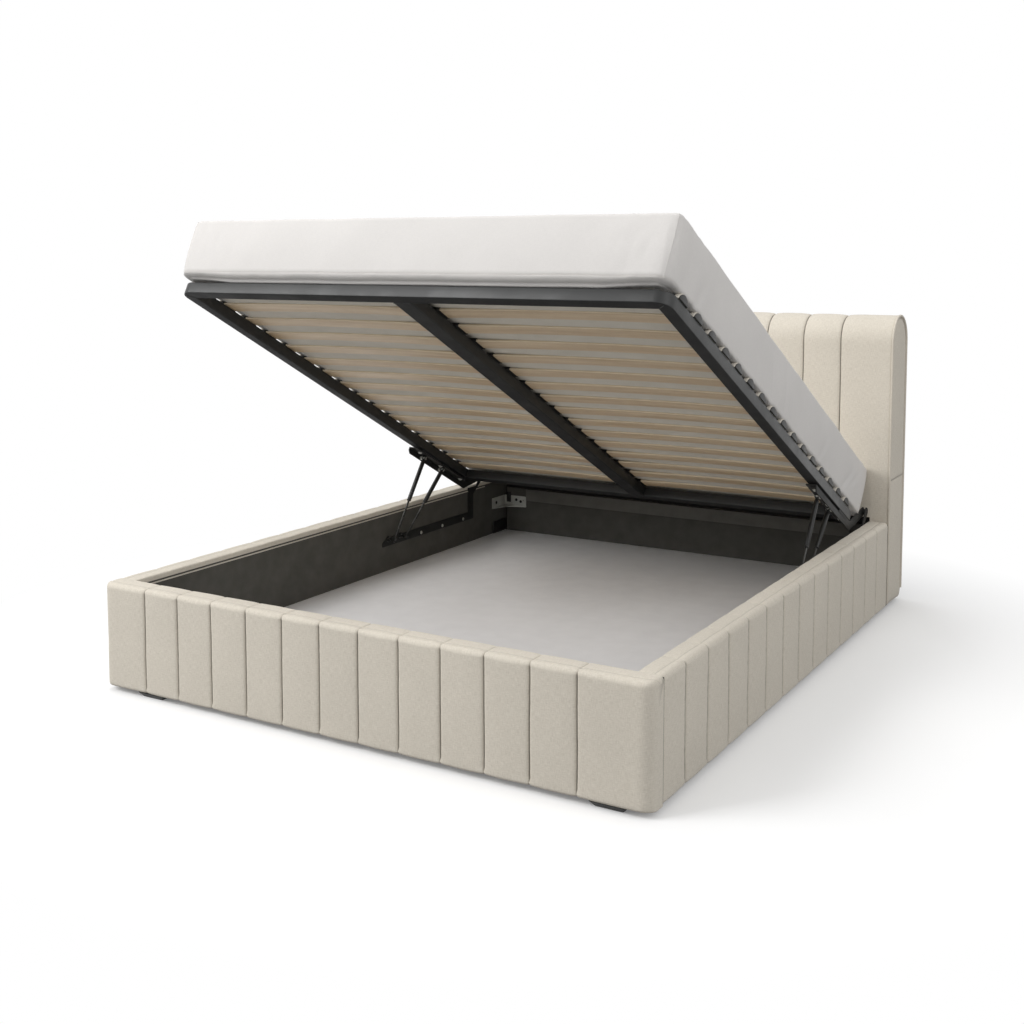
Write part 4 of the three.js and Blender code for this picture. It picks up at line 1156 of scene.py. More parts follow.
    def back(self) -> None:
        """Dresses the back board and tacks its lining down."""
        dress("headboard_board", self.finishes.backing)
        low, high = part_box("headboard_board")
        builder = Builder()
        inset, pitch = self.staple_inset, self.staple_pitch
        places = [(x, high[2] - inset) for x in np.arange(low[0] + inset, high[0], pitch)]
        for x in (low[0] + inset, high[0] - inset):
            places += [(x, z) for z in np.arange(low[2] + inset, high[2] - inset, pitch)]
        for x, z in places:
            builder.block((x - 0.005, high[1] - 0.0002, z - 0.0006), (x + 0.005, high[1] + 0.0006, z + 0.0006), 0.0003,
                          segments=1)
        builder.make("headboard_staples", [self.finishes.zinc], "bed", "headboard_backing")

    def build(self) -> None:
        """Makes the whole headboard."""
        self.pad()
        self.piping()
        self.back()


def dress(node: str, material: bpy.types.Material) -> None:
    """Gives one CAD node a finish."""
    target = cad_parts[node]
    target = bpy.data.objects[target] if isinstance(target, str) else target
    if not target.material_slots:
        target.data.materials.append(material)
    for entry in target.material_slots:
        entry.material = material


# ---------------------------------------------------------------- storage box


@dataclass
class StorageBox(Part):
    """Boards, floor, feet and corner brackets of the bed box."""

    ledge_height: float = 0.3012
    ledge_size: float = 0.0042
    ledge_reach: float = 0.0026
    band_half: float = 0.7
    band_bottom: float = 0.222
    band_top: float = 0.272
    bracket_thickness: float = 0.003
    bracket_height: float = 0.046
    bracket_bottom: float = 0.192
    notch_place: float = 0.022
    block_inner: float = 0.803
    block_outer: float = 0.8105
    head_wing: float = 0.108
    side_wing: float = 0.107
    foot_taper: float = 0.012

    def boards(self) -> None:
        """Dresses the boards, the head panel and the floor."""
        for node in ("foot_rail_board", "left_rail_board", "right_rail_board", "head_panel"):
            dress(node, self.finishes.lining)
        dress("base_board", self.finishes.floor_panel)

    def ledges(self) -> None:
        """Makes the thin cloth welt along the inner faces of the rails, just under their covers."""
        builder = Builder()
        low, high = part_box("right_rail_cover")
        foot, inner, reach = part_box("foot_rail_cover")[1][1], low[0], self.ledge_reach
        bottom, top = self.ledge_height - self.ledge_size, self.ledge_height
        for side in (-1, 1):
            near, far = sorted((side * (inner + 0.0002), side * (inner - reach)))
            builder.block((near, foot + 0.004, bottom), (far, high[1] - 0.02, top), 0.0006)
        builder.block((0.004 - inner, foot - 0.0002, bottom), (inner - 0.004, foot + reach, top), 0.0006)
        builder.make("rail_ledge_welts", [self.finishes.piping], "bed", "upholstery")

    def head_band(self) -> None:
        """Covers the raised band along the head panel."""
        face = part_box("head_panel")[0][1]
        builder = Builder()
        builder.block((-self.band_half, face - 0.0012, self.band_bottom),
                      (self.band_half, face + 0.004, self.band_top), 0.001)
        builder.make("head_band_lining", [self.finishes.band], "bed", "lined_board")

    def foot(self, node: str) -> None:
        """Makes one moulded foot, narrower underneath."""
        low, high = (Vector(v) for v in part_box(node))
        middle = (low + high) / 2
        builder = Builder()
        builder.plate(rounded(oblong(low, high), 0.008), high.z - low.z, Matrix.Translation((0, 0, middle.z)),
                      edge=0.0022, rounds=2)
        points = builder.points[-1]
        share = np.clip((high.z - points[:, 2]) / (high.z - low.z), 0, 1)
        for axis in (0, 1):
            reach = (high[axis] - low[axis]) / 2
            points[:, axis] = middle[axis] + (points[:, axis] - middle[axis]) * (1 - share * self.foot_taper / reach)
        builder.make(f"{node}_block", [self.finishes.plastic], "bed", "foot_plastic", replaces=node)

    def bracket(self, name: str, side: int) -> None:
        """Makes one pressed corner bracket with its screws."""
        low, high = (Vector(v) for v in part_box(f"corner_bracket_{name}"))
        face, outer = high.y, side * max(abs(low.x), abs(high.x))
        inner, notch = outer - side * self.head_wing, outer - side * self.notch_place
        builder, t = Builder(), self.bracket_thickness
        bottom, top = self.bracket_bottom, self.bracket_bottom + self.bracket_height
        mid_z, wing_end = (bottom + top) / 2, face - self.side_wing
        left, right = sorted((outer, inner))
        outline = [(left, bottom), (right, bottom), (right, top - 0.004), (right - 0.004, top), (notch + 0.011, top),
                   (notch + 0.011, bottom + 0.016), (notch - 0.011, bottom + 0.016), (notch - 0.011, top),
                   (left + 0.004, top), (left, top - 0.004)]
        holes = [circle((inner + side * 0.026, mid_z), 0.0035), circle((inner + side * 0.014, mid_z + 0.006), 0.0022)]
        stand = Matrix(((1, 0, 0, 0), (0, 0, -1, face - t / 2), (0, 1, 0, 0), (0, 0, 0, 1)))
        builder.plate(outline, t, stand, holes)
        side_screw = face - self.side_wing * 0.7
        across = Matrix.Translation((outer - side * t / 2, 0, 0)) @ ACROSS_X
        builder.plate(rounded(oblong((wing_end, bottom), (face - t / 2, top)), 0.005), t, across,
                      [circle((side_screw, mid_z), 0.0035)])
        lip = [(outer, face), (inner, face), (inner, face - t), (outer - side * 0.03, face - 0.03),
               (outer - side * t, wing_end), (outer, wing_end)]
        builder.plate(lip if side < 0 else lip[::-1], t, Matrix.Translation((0, 0, bottom + t / 2)))
        for x, z in ((inner + side * 0.026, mid_z), (outer - side * 0.06, mid_z + 0.006)):
            builder.screw((x, face - t, z), (0, -1, 0), 0.0042, 0.0026, 1)
        builder.screw((outer - side * t, side_screw, mid_z), (-side, 0, 0), 0.0048, 0.0028, 1)
        builder.make(f"corner_bracket_{name}_pressing", [self.finishes.zinc, self.finishes.strut_paint], "bed",
                     "bracket_zinc", replaces=f"corner_bracket_{name}")

    def corner_block(self, name: str, side: int) -> None:
        """Makes the small black block under each bracket and the one in its notch."""
        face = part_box("head_panel")[0][1] + 0.008
        outer = side * self.block_outer
        near, far = sorted((side * self.block_inner, outer))
        notch, bottom = outer - side * self.notch_place, self.bracket_bottom
        builder = Builder()
        builder.block((near, face - 0.105, 0.086), (far, face - 0.002, 0.136), 0.0025, segments=3)
        builder.block((notch - 0.0095, face - 0.004, bottom + 0.018),
                      (notch + 0.0095, face - 0.0004, bottom + self.bracket_height + 0.014), 0.001)
        builder.make(f"corner_block_{name}", [self.finishes.plastic], "bed", "foot_plastic")

    def build(self) -> None:
        """Makes everything in the box."""
        self.boards()
        self.ledges()
        self.head_band()
        for node in ("foot_front_left", "foot_front_right", "foot_head_left", "foot_head_right"):
            self.foot(node)
        for name, side in SIDES.items():
            self.bracket(name, side)
            self.corner_block(name, side)


# ---------------------------------------------------------------- lifting platform


@dataclass(frozen=True)
class StrutSpec:
    """One gas strut: where it joins the arm and the lift plate, and the lengths of its tube and rod."""

    along: float
    foot: Point
    tube: float
    rod: float


STRUTS = {
    "a": StrutSpec(0.332, (0.2025, 0.207), 0.183, 0.175),
    "b": StrutSpec(0.193, (0.2775, 0.207), 0.165, 0.205),
}


@dataclass
class SlatFrame(Part):
    """The welded tube frame with its caps, slats and lift arms, in the platform's own axes."""

    length: float = 1.764
    tube_width: float = 0.04
    tube_height: float = 0.036
    beam: float = 0.06
    corner: float = 0.042
    bead: float = 0.0016
    arm_front: float = 0.42
    arm_depth: float = 0.032
    arm_gap: float = 0.008
    arm_plate: float = 0.004
    arm_flange: float = 0.038
    pin: float = 0.006
    eye_gap: float = 0.0063
    stud: float = 0.005
    collar: float = 0.0075
    slat_count: int = 16
    slat_first: float = 0.08
    slat_pitch: float = 0.10693
    slat_start: float = 0.018
    slat_end: float = 0.787
    slat_width: float = 0.053
    slat_thickness: float = 0.007
    slat_round: float = 0.00308
    slat_bow: float = 0.006
    sleeve: float = 0.02
    saddle: float = 0.0362
    cap_half: float = 0.031
    cap_low: float = 0.0045
    cap_rise: float = 0.0083
    mouth_half: float = 0.0269
    mouth_height: float = 0.0084
    ear_half: float = 0.029
    ear: float = 0.016
    ear_rise: float = 0.0195
    glint_rim: float = 0.0128
    glint_rim_rise: float = 0.0018

    def __post_init__(self) -> None:
        """Lists where the slats lie."""
        self.half = self.layout.half
        self.places = [-self.slat_first - self.slat_pitch * (self.slat_count - 1 - k) for k in range(self.slat_count)]

    def tubes(self) -> None:
        """Makes the welded tubes with weld beads at their joints."""
        builder = Builder()
        x, foot, height, bend_in = self.half, -self.length, self.tube_height, self.half - self.corner
        outline = arc((bend_in, foot + self.corner), self.corner, -90, 0, 7) + [(x, 0), (-x, 0)]
        outline += arc((-bend_in, foot + self.corner), self.corner, 180, 270, 7)
        inside, holes = x - self.tube_width, []
        for side in (-1, 1):
            low, high = sorted((side * self.beam / 2, side * inside))
            holes.append(oblong((low, foot + self.tube_width), (high, -self.tube_width)))
        builder.plate(outline, height, Matrix.Translation((0, 0, height / 2)), holes, 0.0032, rounds=3)
        for z in (-0.0002, height + 0.0002):
            for side in (-1, 1):
                for end, way in ((0.0, -1), (foot, 1)):
                    rim = 0.005 if way < 0 else self.corner * 0.3 + 0.004
                    a = (side * (inside + 0.003), end + way * (self.tube_width - 0.003), z)
                    self._bead(builder, a, (side * (x - rim), end + way * rim, z))
                for end in (-self.tube_width + 0.0005, foot + self.tube_width - 0.0005):
                    self._bead(builder, (side * 0.004, end, z), (side * (self.beam / 2 - 0.002), end, z))
        builder.make("platform_tubes", [self.finishes.steel], "platform", "frame_steel", self.layout.matrix(),
                     replaces="platform_frame")

    def _bead(self, builder: Builder, start: Sequence[float], end: Sequence[float]) -> None:
        """Adds one slightly wavy weld bead."""
        share = np.linspace(0, 1, 14)[:, None]
        line = np.array(start) * (1 - share) + np.array(end) * share
        line[:, :2] += 0.0005 * np.sin(share * 41.0) * np.array([[1.0, -1.0]])
        builder.tube(line, self.bead, sides=6)

    def _on_tubes(self, x: float, y: float) -> Matrix:
        """Returns a place on top of the tubes, for sections across the slats."""
        return Matrix.Translation((x, y, self.tube_height)) @ ACROSS_X

    def caps(self) -> None:
        """Makes the moulded caps along both sides and over the beam, with light rims behind their outer ends as a
        painted highlight round each stop.
        """
        builder = Builder()
        half = self.cap_half
        arch = [(half * t, self.cap_low + self.cap_rise * math.sqrt(max(0.0, 1 - abs(t) ** 5)))
                for t in np.linspace(1, -1, 19)]
        outline = [(-half, 0.0), (half, 0.0), *arch[1:-1]]
        ear = [(-self.ear_half, 0.0), (self.ear_half, 0.0)]
        ear += [(self.ear_half * t, 0.0012 + self.ear_rise * (1 - t * t) ** 0.8) for t in np.linspace(0.97, -0.97, 15)]
        glint_rim = [(y * 1.1, z + self.glint_rim_rise if z > 0 else z) for y, z in ear]
        mouth = oblong((-self.mouth_half, SEAT), (self.mouth_half, self.mouth_height))
        for place in self.places:
            for side in (-1, 1):
                for middle in (self.slat_end - self.sleeve / 2, self.slat_start + self.sleeve / 2):
                    builder.plate(outline, self.sleeve, self._on_tubes(side * middle, place), [mouth], 0.0004)
                stop = self._on_tubes(side * (self.slat_end + self.ear / 2), place)
                builder.plate(ear, self.ear, stop, edge=0.0016)
                # the light rim behind each stop is a painted highlight along its outline
                rim = self._on_tubes(side * (self.slat_end + self.glint_rim / 2), place)
                builder.plate(glint_rim, self.glint_rim, rim, edge=0.0008, slot=1)
            builder.plate(outline, self.saddle, self._on_tubes(0, place), edge=0.0006)
        builder.make("slat_caps", [self.finishes.plastic, self.finishes.underlay], "platform", "frame_steel",
                     self.layout.matrix())

    def slat(self, name: str, side: int, index: int) -> None:
        """Makes one laminated slat, bowed up to the mattress."""
        inner, outer = side * self.slat_start, side * self.slat_end
        x = np.linspace(inner, outer, 33)
        share = (x - inner) / (outer - inner)
        lift = self.tube_height + SEAT + self.slat_bow * (1 - (2 * share - 1) ** 2)
        half, t = self.slat_width / 2, self.slat_thickness
        ring = np.array(rounded(oblong((-half, 0.0), (half, t)), self.slat_round, 3))
        points = np.empty((len(x), len(ring), 3))
        points[..., 0] = x[:, None]
        points[..., 1] = self.places[index] + ring[:, 0]
        points[..., 2] = lift[:, None] + ring[:, 1]
        builder = Builder()
        builder.skin(points, x, run(np.vstack((ring, ring[:1]))), lambda p: p[:, [2, 1]])
        made = builder.make(f"{name}_birch", [self.finishes.birch], "platform", "slat_wood", self.layout.matrix(),
                            replaces=name)
        ply = np.tile(ring[:, 1] / t, len(x))
        seed = np.full(len(ply), index * 3.7 + (side + 1) * 29.0)
        layer = made.data.attributes.new("ply", "FLOAT_VECTOR", "POINT")
        layer.data.foreach_set("vector", np.stack((ply, seed, np.zeros(len(ply))), -1).ravel())

    def arm(self, side: int, builder: Builder, fixings: Builder) -> None:
        """Adds one lift arm, its spacers and its fixings.

        Args:
            side: -1 for left, 1 for right.
            builder: takes the painted steel.
            fixings: takes the plated screws and nuts.
        """
        top, bottom, front = -self.arm_gap, -self.arm_depth, -self.arm_front
        hinge = self.layout.hinge_on_frame
        nose = self.arm_depth * 0.35
        outline = [(front, top), (front, bottom + nose), (front + nose, bottom), (self.layout.eye, bottom),
                   *self.layout.eye_outline(hinge), (0.006, -0.0006), (-0.13, -0.0006), (-0.14, top)]
        outer = self.half - 0.001
        stand = Matrix.Translation((side * (outer - self.arm_plate / 2), 0, 0)) @ ACROSS_X
        builder.plate(outline, self.arm_plate, stand, [circle(hinge, self.pin + SEAT)], 0.0008, rounds=2)
        near, far = sorted((side * outer, side * (outer - self.arm_flange)))
        flange = rounded(oblong((near, front), (far, -self.tube_width)), 0.004)
        builder.plate(flange, self.arm_plate, Matrix.Translation((0, 0, top - self.arm_plate / 2)), edge=0.0008)
        rise = self.arm_gap + 0.0005
        for share in (0.12, 0.5, 0.88):
            x, y = side * (outer - self.arm_flange / 2), front * share
            builder.lathe([(0, 0), (0.008, 0), (0.008, rise), (0, rise)], Matrix.Translation((x, y, top)))
            fixings.screw((x, y, top - self.arm_plate), (0, 0, -1), 0.0062, 0.0045, hexagon=True)

    def studs(self, side: int, fixings: Builder) -> None:
        """Adds the studs under one lift arm that carry its two struts."""
        outer, pivot = side * (self.half - 0.003), self.half - self.layout.strut_inset
        inner, collar = side * (pivot - self.eye_gap), side * (pivot + self.eye_gap)
        for strut in STRUTS.values():
            y, z = -strut.along, -self.layout.pivot_drop
            for radius, end in ((self.stud, inner), (self.collar, collar)):
                length = abs(end - outer)
                fixings.lathe([(0, 0), (radius, 0), (radius, length - 0.0004), (radius - 0.0004, length), (0, length)],
                              facing((outer, y, z), (end - outer, 0, 0)))
            fixings.screw((inner, y, z), (-side, 0, 0), 0.0048, 0.0026, hexagon=True)

    def arms(self) -> None:
        """Makes both lift arms with their studs."""
        builder, fixings = Builder(), Builder()
        for side in SIDES.values():
            self.arm(side, builder, fixings)
            self.studs(side, fixings)
        matrix = self.layout.matrix()
        builder.make("lift_arms", [self.finishes.lift_steel], "platform", "frame_steel", matrix)
        fixings.make("lift_arm_fixings", [self.finishes.zinc], "platform", "bracket_zinc", matrix)

    def build(self) -> None:
        """Makes the whole frame."""
        self.tubes()
        self.caps()
        for name, side in SIDES.items():
            for index in range(self.slat_count):
                self.slat(f"slat_{name}_{index + 1:02d}", side, index)
        self.arms()


@dataclass
class Struts(Part):
    """The four gas struts."""

    plate_face: float = 0.8062
    eye_half: float = 0.006
    eye_radius: float = 0.009
    eye_bore: float = 0.0053

    def build(self) -> None:
        """Makes every strut."""
        for name, side in SIDES.items():
            for key, spec in STRUTS.items():
                self.strut(f"{name}_{key}", side, spec)

    def strut(self, name: str, side: int, spec: StrutSpec) -> None:
        """Makes one strut's pressure tube and its rod.

        Args:
            name: its side and its letter.
            side: -1 for left, 1 for right.
            spec: its sizes.
        """
        x = side * (self.layout.half - self.layout.strut_inset)
        upper = self.layout.matrix() @ Vector((x, -spec.along, -self.layout.pivot_drop))
        lower = Vector((x, *spec.foot))
        turn = (lower - upper).to_track_quat("Z", "X").to_matrix().to_4x4()
        top, base = Matrix.Translation(upper) @ turn, Matrix.Translation(lower) @ turn
        tube, rod, end, length = Builder(), Builder(), spec.tube, spec.rod
        tube.lathe([(0, 0.014), (0.0062, 0.014), (0.0075, 0.0165), (0.0079, 0.0185), (0.0079, end - 0.009),
                    (0.0072, end - 0.0075), (0.0072, end - 0.0062), (0.0079, end - 0.005), (0.0079, end - 0.0012),
                    (0.0068, end), (0.0046, end), (0.0046, 0.024), (0, 0.024)], top, 32)
        tube.lathe([(0, 0.004), (0.0045, 0.004), (0.0045, 0.0085), (0.006, 0.0095), (0.006, 0.0125), (0.0045, 0.0142),
                    (0, 0.0142)], top, 20)
        self._eye(tube, top, self.eye_bore)
        tube.make(f"strut_tube_{name}", [self.finishes.strut_paint], f"cylinder_{name}", "strut_tube",
                  replaces=f"strut_cylinder_{name}")
        rod.lathe([(0, -0.006), (0.0052, -0.006), (0.0052, -0.0155), (0.004, -0.0165), (0.004, -length + 0.0006),
                   (0.0034, -length), (0, -length)], base, 24)
        self._eye(rod, base, 0.0)
        reach = self.plate_face - abs(x)
        rod.lathe([(0, -0.0085), (0.0045, -0.0085), (0.006, -0.0075), (0.006, reach - 0.003), (0.011, reach - 0.003),
                   (0.011, reach - 0.0004), (0.0106, reach), (0, reach)], facing(lower, (side, 0, 0)), 24)
        rod.make(f"strut_piston_{name}", [self.finishes.chrome], f"rod_{name}", "strut_rod",
                 replaces=f"strut_rod_{name}")

    def _eye(self, builder: Builder, place: Matrix, bore: float) -> None:
        """Adds an end eye across the strut, with a bore or filled."""
        half, radius, edge = self.eye_half, self.eye_radius, 0.0008
        profile = [(bore, -half), (radius - edge, -half), (radius, -half + edge), (radius, half - edge),
                   (radius - edge, half), (bore, half)]
        if bore:
            profile.append(profile[0])
        builder.lathe(profile, place @ Matrix.Rotation(math.radians(90), 4, "Y"), 28)


@dataclass
class LiftPlates(Part):
    """The plates on the side boards that carry the hinges and the struts' feet."""

    tip: float = 1.28
    strip_bottom: float = 0.18
    strip_height: float = 0.032
    post: float = 1.873
    post_width: float = 0.038
    band_top: float = 0.313
    band_height: float = 0.03
    thickness: float = 0.004
    outer_face: float = 0.8107
    arm_face: float = 0.7983
    pin_end: float = 0.7937
    bolts: tuple[float, ...] = (1.53, 1.679, 1.832)

    def build(self) -> None:
        """Makes both plates."""
        for name, side in SIDES.items():
            self.plate(name, side)

    def plate(self, name: str, side: int) -> None:
        """Makes one plate, its hinge pin and its bolts."""
        y, z = self.layout.hinge
        low, high, middle = self.strip_bottom, self.strip_bottom + self.strip_height, self.strip_height / 2
        tip, post = self.tip - HALF_LENGTH, self.post - HALF_LENGTH
        right = post + self.post_width
        outline = [(tip, low), (right, low), (right, self.band_top - self.band_height),
                   *self.layout.eye_outline((y, z)), (y - 0.055, self.band_top), (post, self.band_top), (post, high),
                   (tip + 0.026, high), (tip, low + middle)]
        inner = self.outer_face - self.thickness
        builder, fixings = Builder(), Builder()
        stand = Matrix.Translation((side * (self.outer_face - self.thickness / 2), 0, 0)) @ ACROSS_X
        builder.plate(outline, self.thickness, stand, edge=0.0009, rounds=2)
        pin = facing((side * inner, y, z), (-side, 0, 0))
        gap, through = inner - self.arm_face, inner - self.pin_end
        builder.lathe([(0, -0.001), (0.01, -0.001), (0.01, gap - 0.0005), (0.0095, gap), (0, gap)], pin, 28)
        fixings.lathe([(0, 0), (0.006, 0), (0.006, through), (0.009, through), (0.009, through + 0.0018),
                       (0.0078, through + 0.0026), (0.003, through + 0.003), (0, through + 0.003)], pin, 28)
        for place in self.bolts:
            fixings.screw((side * inner, place - HALF_LENGTH, low + middle - 0.005), (-side, 0, 0), 0.0044, 0.0036)
        builder.make(f"lift_plate_{name}_steel", [self.finishes.lift_steel], "bed", "lift_steel",
                     replaces=f"lift_plate_{name}")
        fixings.make(f"lift_plate_{name}_fixings", [self.finishes.zinc], "bed", "bracket_zinc")


# ---------------------------------------------------------------- mattress


@dataclass(frozen=True)
class Fold:
    """A soft fold in the mattress cover's side: its place, height, lean, length and depth."""

    along: float
    height: float
    lean: float
    length: float
    depth: float


@dataclass
class Mattress(Part):
    """The mattress in its fitted cover, in the platform's own axes.

    Along the foot and the head the cover hangs below the mattress's underside. Along the sides it is drawn up, clear
    of the slat caps.
    """

    width: float = 1.61
    foot: float = -1.798
    head: float = 0.13
    bottom: float = 0.0466
    thickness: float = 0.185
    crown: float = 0.008
    corner: float = 0.052
    top_corner: float = 0.026
    top_edge: float = 0.014
    hem: float = 0.0565
    hem_drop: float = 0.0128
    tuck: float = 0.0245
    sag: float = 0.0095
    side_clear: float = 0.0035
    bulge: float = 0.004
    turn_steps: int = 12
    edge_steps: tuple[int, ...] = (130, 110, 130, 110)
    under_levels: int = 4
    folds: tuple[Fold, ...] = (
        Fold(-0.98, 0.05, -0.5, 0.07, 0.0062),
        Fold(-0.86, 0.06, -0.35, 0.08, 0.0054),
        Fold(-0.44, 0.05, 0.5, 0.05, 0.0034),
        Fold(-0.12, 0.06, 0.9, 0.05, 0.0056),
        Fold(-0.05, 0.08, 1.2, 0.04, 0.0044),
        Fold(-1.6, 0.04, 0.4, 0.05, 0.003),
    )

    def __post_init__(self) -> None:
        """Works out the hem's height over the underside."""
        self.seam = self.hem - self.bottom

    def _outline(self, inset: float, share: float) -> np.ndarray:
        """Returns one ring round the mattress, drawn in by inset, its corners tighter towards the top."""
        radius = max(self.corner + (self.top_corner - self.corner) * share - inset, 0.008)
        across = self.width / 2 - inset - radius
        foot, head = self.foot + inset + radius, self.head - inset - radius
        turns = [arc(centre, radius, start, start + 90, self.turn_steps)
                 for centre, start in (((across, foot), -90), ((across, head), 0), ((-across, head), 90),
                                       ((-across, foot), 180))]
        out: list[Point] = []
        for turn, after, parts in zip(turns, turns[1:] + turns[:1], self.edge_steps):
            begin, target = np.array(turn[-1]), np.array(after[0])
            out.extend(turn)
            out.extend(map(tuple, begin + (target - begin) * (np.arange(1, parts) / parts)[:, None]))
        return np.array(out)

    def _levels(self) -> list[tuple[float, float, float]]:
        """Returns inset, height and looseness of each ring, from the middle of the underside to that of the top."""
        seam, bulge, edge = self.seam, self.bulge, self.top_edge
        levels = [(0.7, -0.002, 0.0), (0.5, 0.0, 0.0), (0.3, 0.0, 0.0), (0.12, -0.003, 0.0), (0.06, -0.0038, 0.2)]
        levels += [(0.045, 0.001 - self.sag, 0.2), (0.036, -self.sag, 0.3), (0.0318, 0.002 - self.sag, 0.4)]
        for angle in np.radians(np.linspace(-88, -6, 10)):
            inset = bulge + 0.0005 + self.tuck * (1 - math.cos(angle))
            levels.append((inset, seam + self.hem_drop * math.sin(angle), 0.7))
        levels += [(bulge + 0.0046, seam - 0.0012, 0.8), (bulge + 0.0056, seam, 0.5),
                   (bulge + 0.0026, seam + 0.0022, 0.5), (bulge + 0.0004, seam + 0.006, 0.6)]
        start, end = seam + 0.012, self.thickness - edge
        for share in np.linspace(0, 1, 13):
            levels.append((bulge * (1 - math.sin(math.pi * share) ** 0.8), start + (end - start) * share, 0.7))
        for angle in np.radians(np.linspace(0, 90, 10))[1:]:
            levels.append((bulge + edge * (1 - math.cos(angle)), end + edge * math.sin(angle), 0.3))
        for inset in (0.06, 0.1, 0.16, 0.24, 0.34, 0.46, 0.58, 0.7):
            levels.append((inset, self.thickness + self.crown * math.sin(math.pi / 2 * min(1.0, inset / 0.6)), 0.1))
        return levels

    def _creases(self, points: np.ndarray, looseness: np.ndarray) -> np.ndarray:
        """Moves the cover in and out along its soft folds.

        Args:
            points: ring points by level.
            looseness: how free each ring's cloth is.

        Returns:
            The moved points.
        """
        out, seam = points.copy(), self.seam
        x, y, z = out[..., 0], out[..., 1], out[..., 2] - self.bottom
        core = np.stack((np.clip(x, -self.width / 2 + 0.2, self.width / 2 - 0.2),
                         np.clip(y, self.foot + 0.2, self.head - 0.2)), -1)
        push = np.stack((x, y), -1) - core
        size = np.linalg.norm(push, axis=-1, keepdims=True)
        push = np.where(size > 1e-6, push / np.maximum(size, 1e-6), 0)
        size, push_x, push_y = size[..., 0], push[..., 0], push[..., 1]
        round_way = np.where(np.abs(push_x) > np.abs(push_y), y - (self.foot + self.head) / 2, x)
        slow = Ripple(5, 0.18, 0.6)(round_way + push_x * 3, z * 1.5)
        shift = 0.0014 * slow * np.clip(size / 0.1, 0, 1)
        beside = np.abs(push_x) * np.clip((size - 0.15) / 0.008, 0, 1)
        short = (seam - self.side_clear) / (seam + self.sag)
        raised = self.hem - (seam - z) * (1 - beside * (1 - short))
        gather = Ripple(9, 0.022, 0.075, 26)(round_way + push_y * 5, z * 0.5)
        low = np.exp(-(((z - seam * 0.45) / (seam * 0.5)) ** 2))
        above = np.exp(-(np.clip(z - seam, 0, None) / 0.02)) * (z > seam)
        shift += gather * (0.0016 * low * looseness + 0.0007 * above)
        for fold in self.folds:
            aside = (y - fold.along) - fold.lean * (z - fold.height)
            fall = np.exp(-((aside / 0.016) ** 2)) - 0.5 * np.exp(-(((aside - 0.026) / 0.018) ** 2))
            reach = np.exp(-(((z - fold.height) / fold.length) ** 2))
            shift -= fold.depth * fall * reach * (push_x > 0.7)
        out[..., 2] = np.where(z < seam, raised, out[..., 2])
        out[..., 0] += push_x * shift
        out[..., 1] += push_y * shift
        return out

    def build(self) -> None:
        """Makes the covered mattress: the light underlay beneath, the woven cover round and over it."""
        levels = np.array(self._levels())
        insets, heights = levels[:, 0], levels[:, 1]
        rings = [self._outline(inset, max(0.0, height) / self.thickness) for inset, height in levels[:, :2]]
        points = np.empty((len(rings), len(rings[0]), 3))
        points[..., :2] = rings
        points[..., 2] = (self.bottom + heights)[:, None]
        points = self._creases(points, np.broadcast_to(levels[:, 2:], points.shape[:2]))
        count = points.shape[1]
        outer = rings[int(np.argmin(insets))]
        skin, faces, layout = wrapped_grid(points, run(levels[:, :2]), run(np.vstack((outer, outer[:1]))))
        high = heights > 0.1
        top_from = int(np.argmax(high & (insets >= 0.06)))
        quads = np.array(faces)
        ring_of = quads[:, 0] // count
        flat = (ring_of >= top_from - 1) | (ring_of < self.under_levels)
        layout = np.array(layout).reshape(-1, 4, 2)
        layout[flat] = skin[quads[flat]][..., :2]
        builder = Builder()
        builder.add(skin, faces, layout.reshape(-1, 2).tolist())
        builder.slots = np.where(ring_of < self.under_levels, 1, 0).tolist()
        for cap, slot in ((range(count)[::-1], 1), (range(len(skin) - count, len(skin)), 0)):
            builder.faces.append(tuple(cap))
            builder.layout.extend(skin[list(cap), :2].tolist())
            builder.slots.append(slot)
        builder.make("mattress_covered", [self.finishes.cover, self.finishes.underlay], "platform", "mattress_cover",
                     self.layout.matrix(), angle=80.0, replaces="mattress", fill=0.8)
        hem_row = int(np.argmax(np.abs(heights - self.seam) < 1e-9))
        self._welts(points[hem_row:int(np.argmax(high & (insets >= 0.034)))])

    def _welts(self, points: np.ndarray) -> None:
        """Adds the sewn line round the hem and up each corner.

        Args:
            points: the cover's rings from the hem up to the edge of its top.
        """
        builder = Builder()
        builder.tube(points[0] + np.array((0, 0, 0.0002)), 0.0011, closed=True, sides=6)
        start = 5
        for parts in self.edge_steps:
            builder.tube(points[:, start], 0.0009, sides=6)
            start += self.turn_steps + parts
        builder.make("mattress_welts", [self.finishes.cover], "platform", "mattress_cover", self.layout.matrix())


# ---------------------------------------------------------------- studio


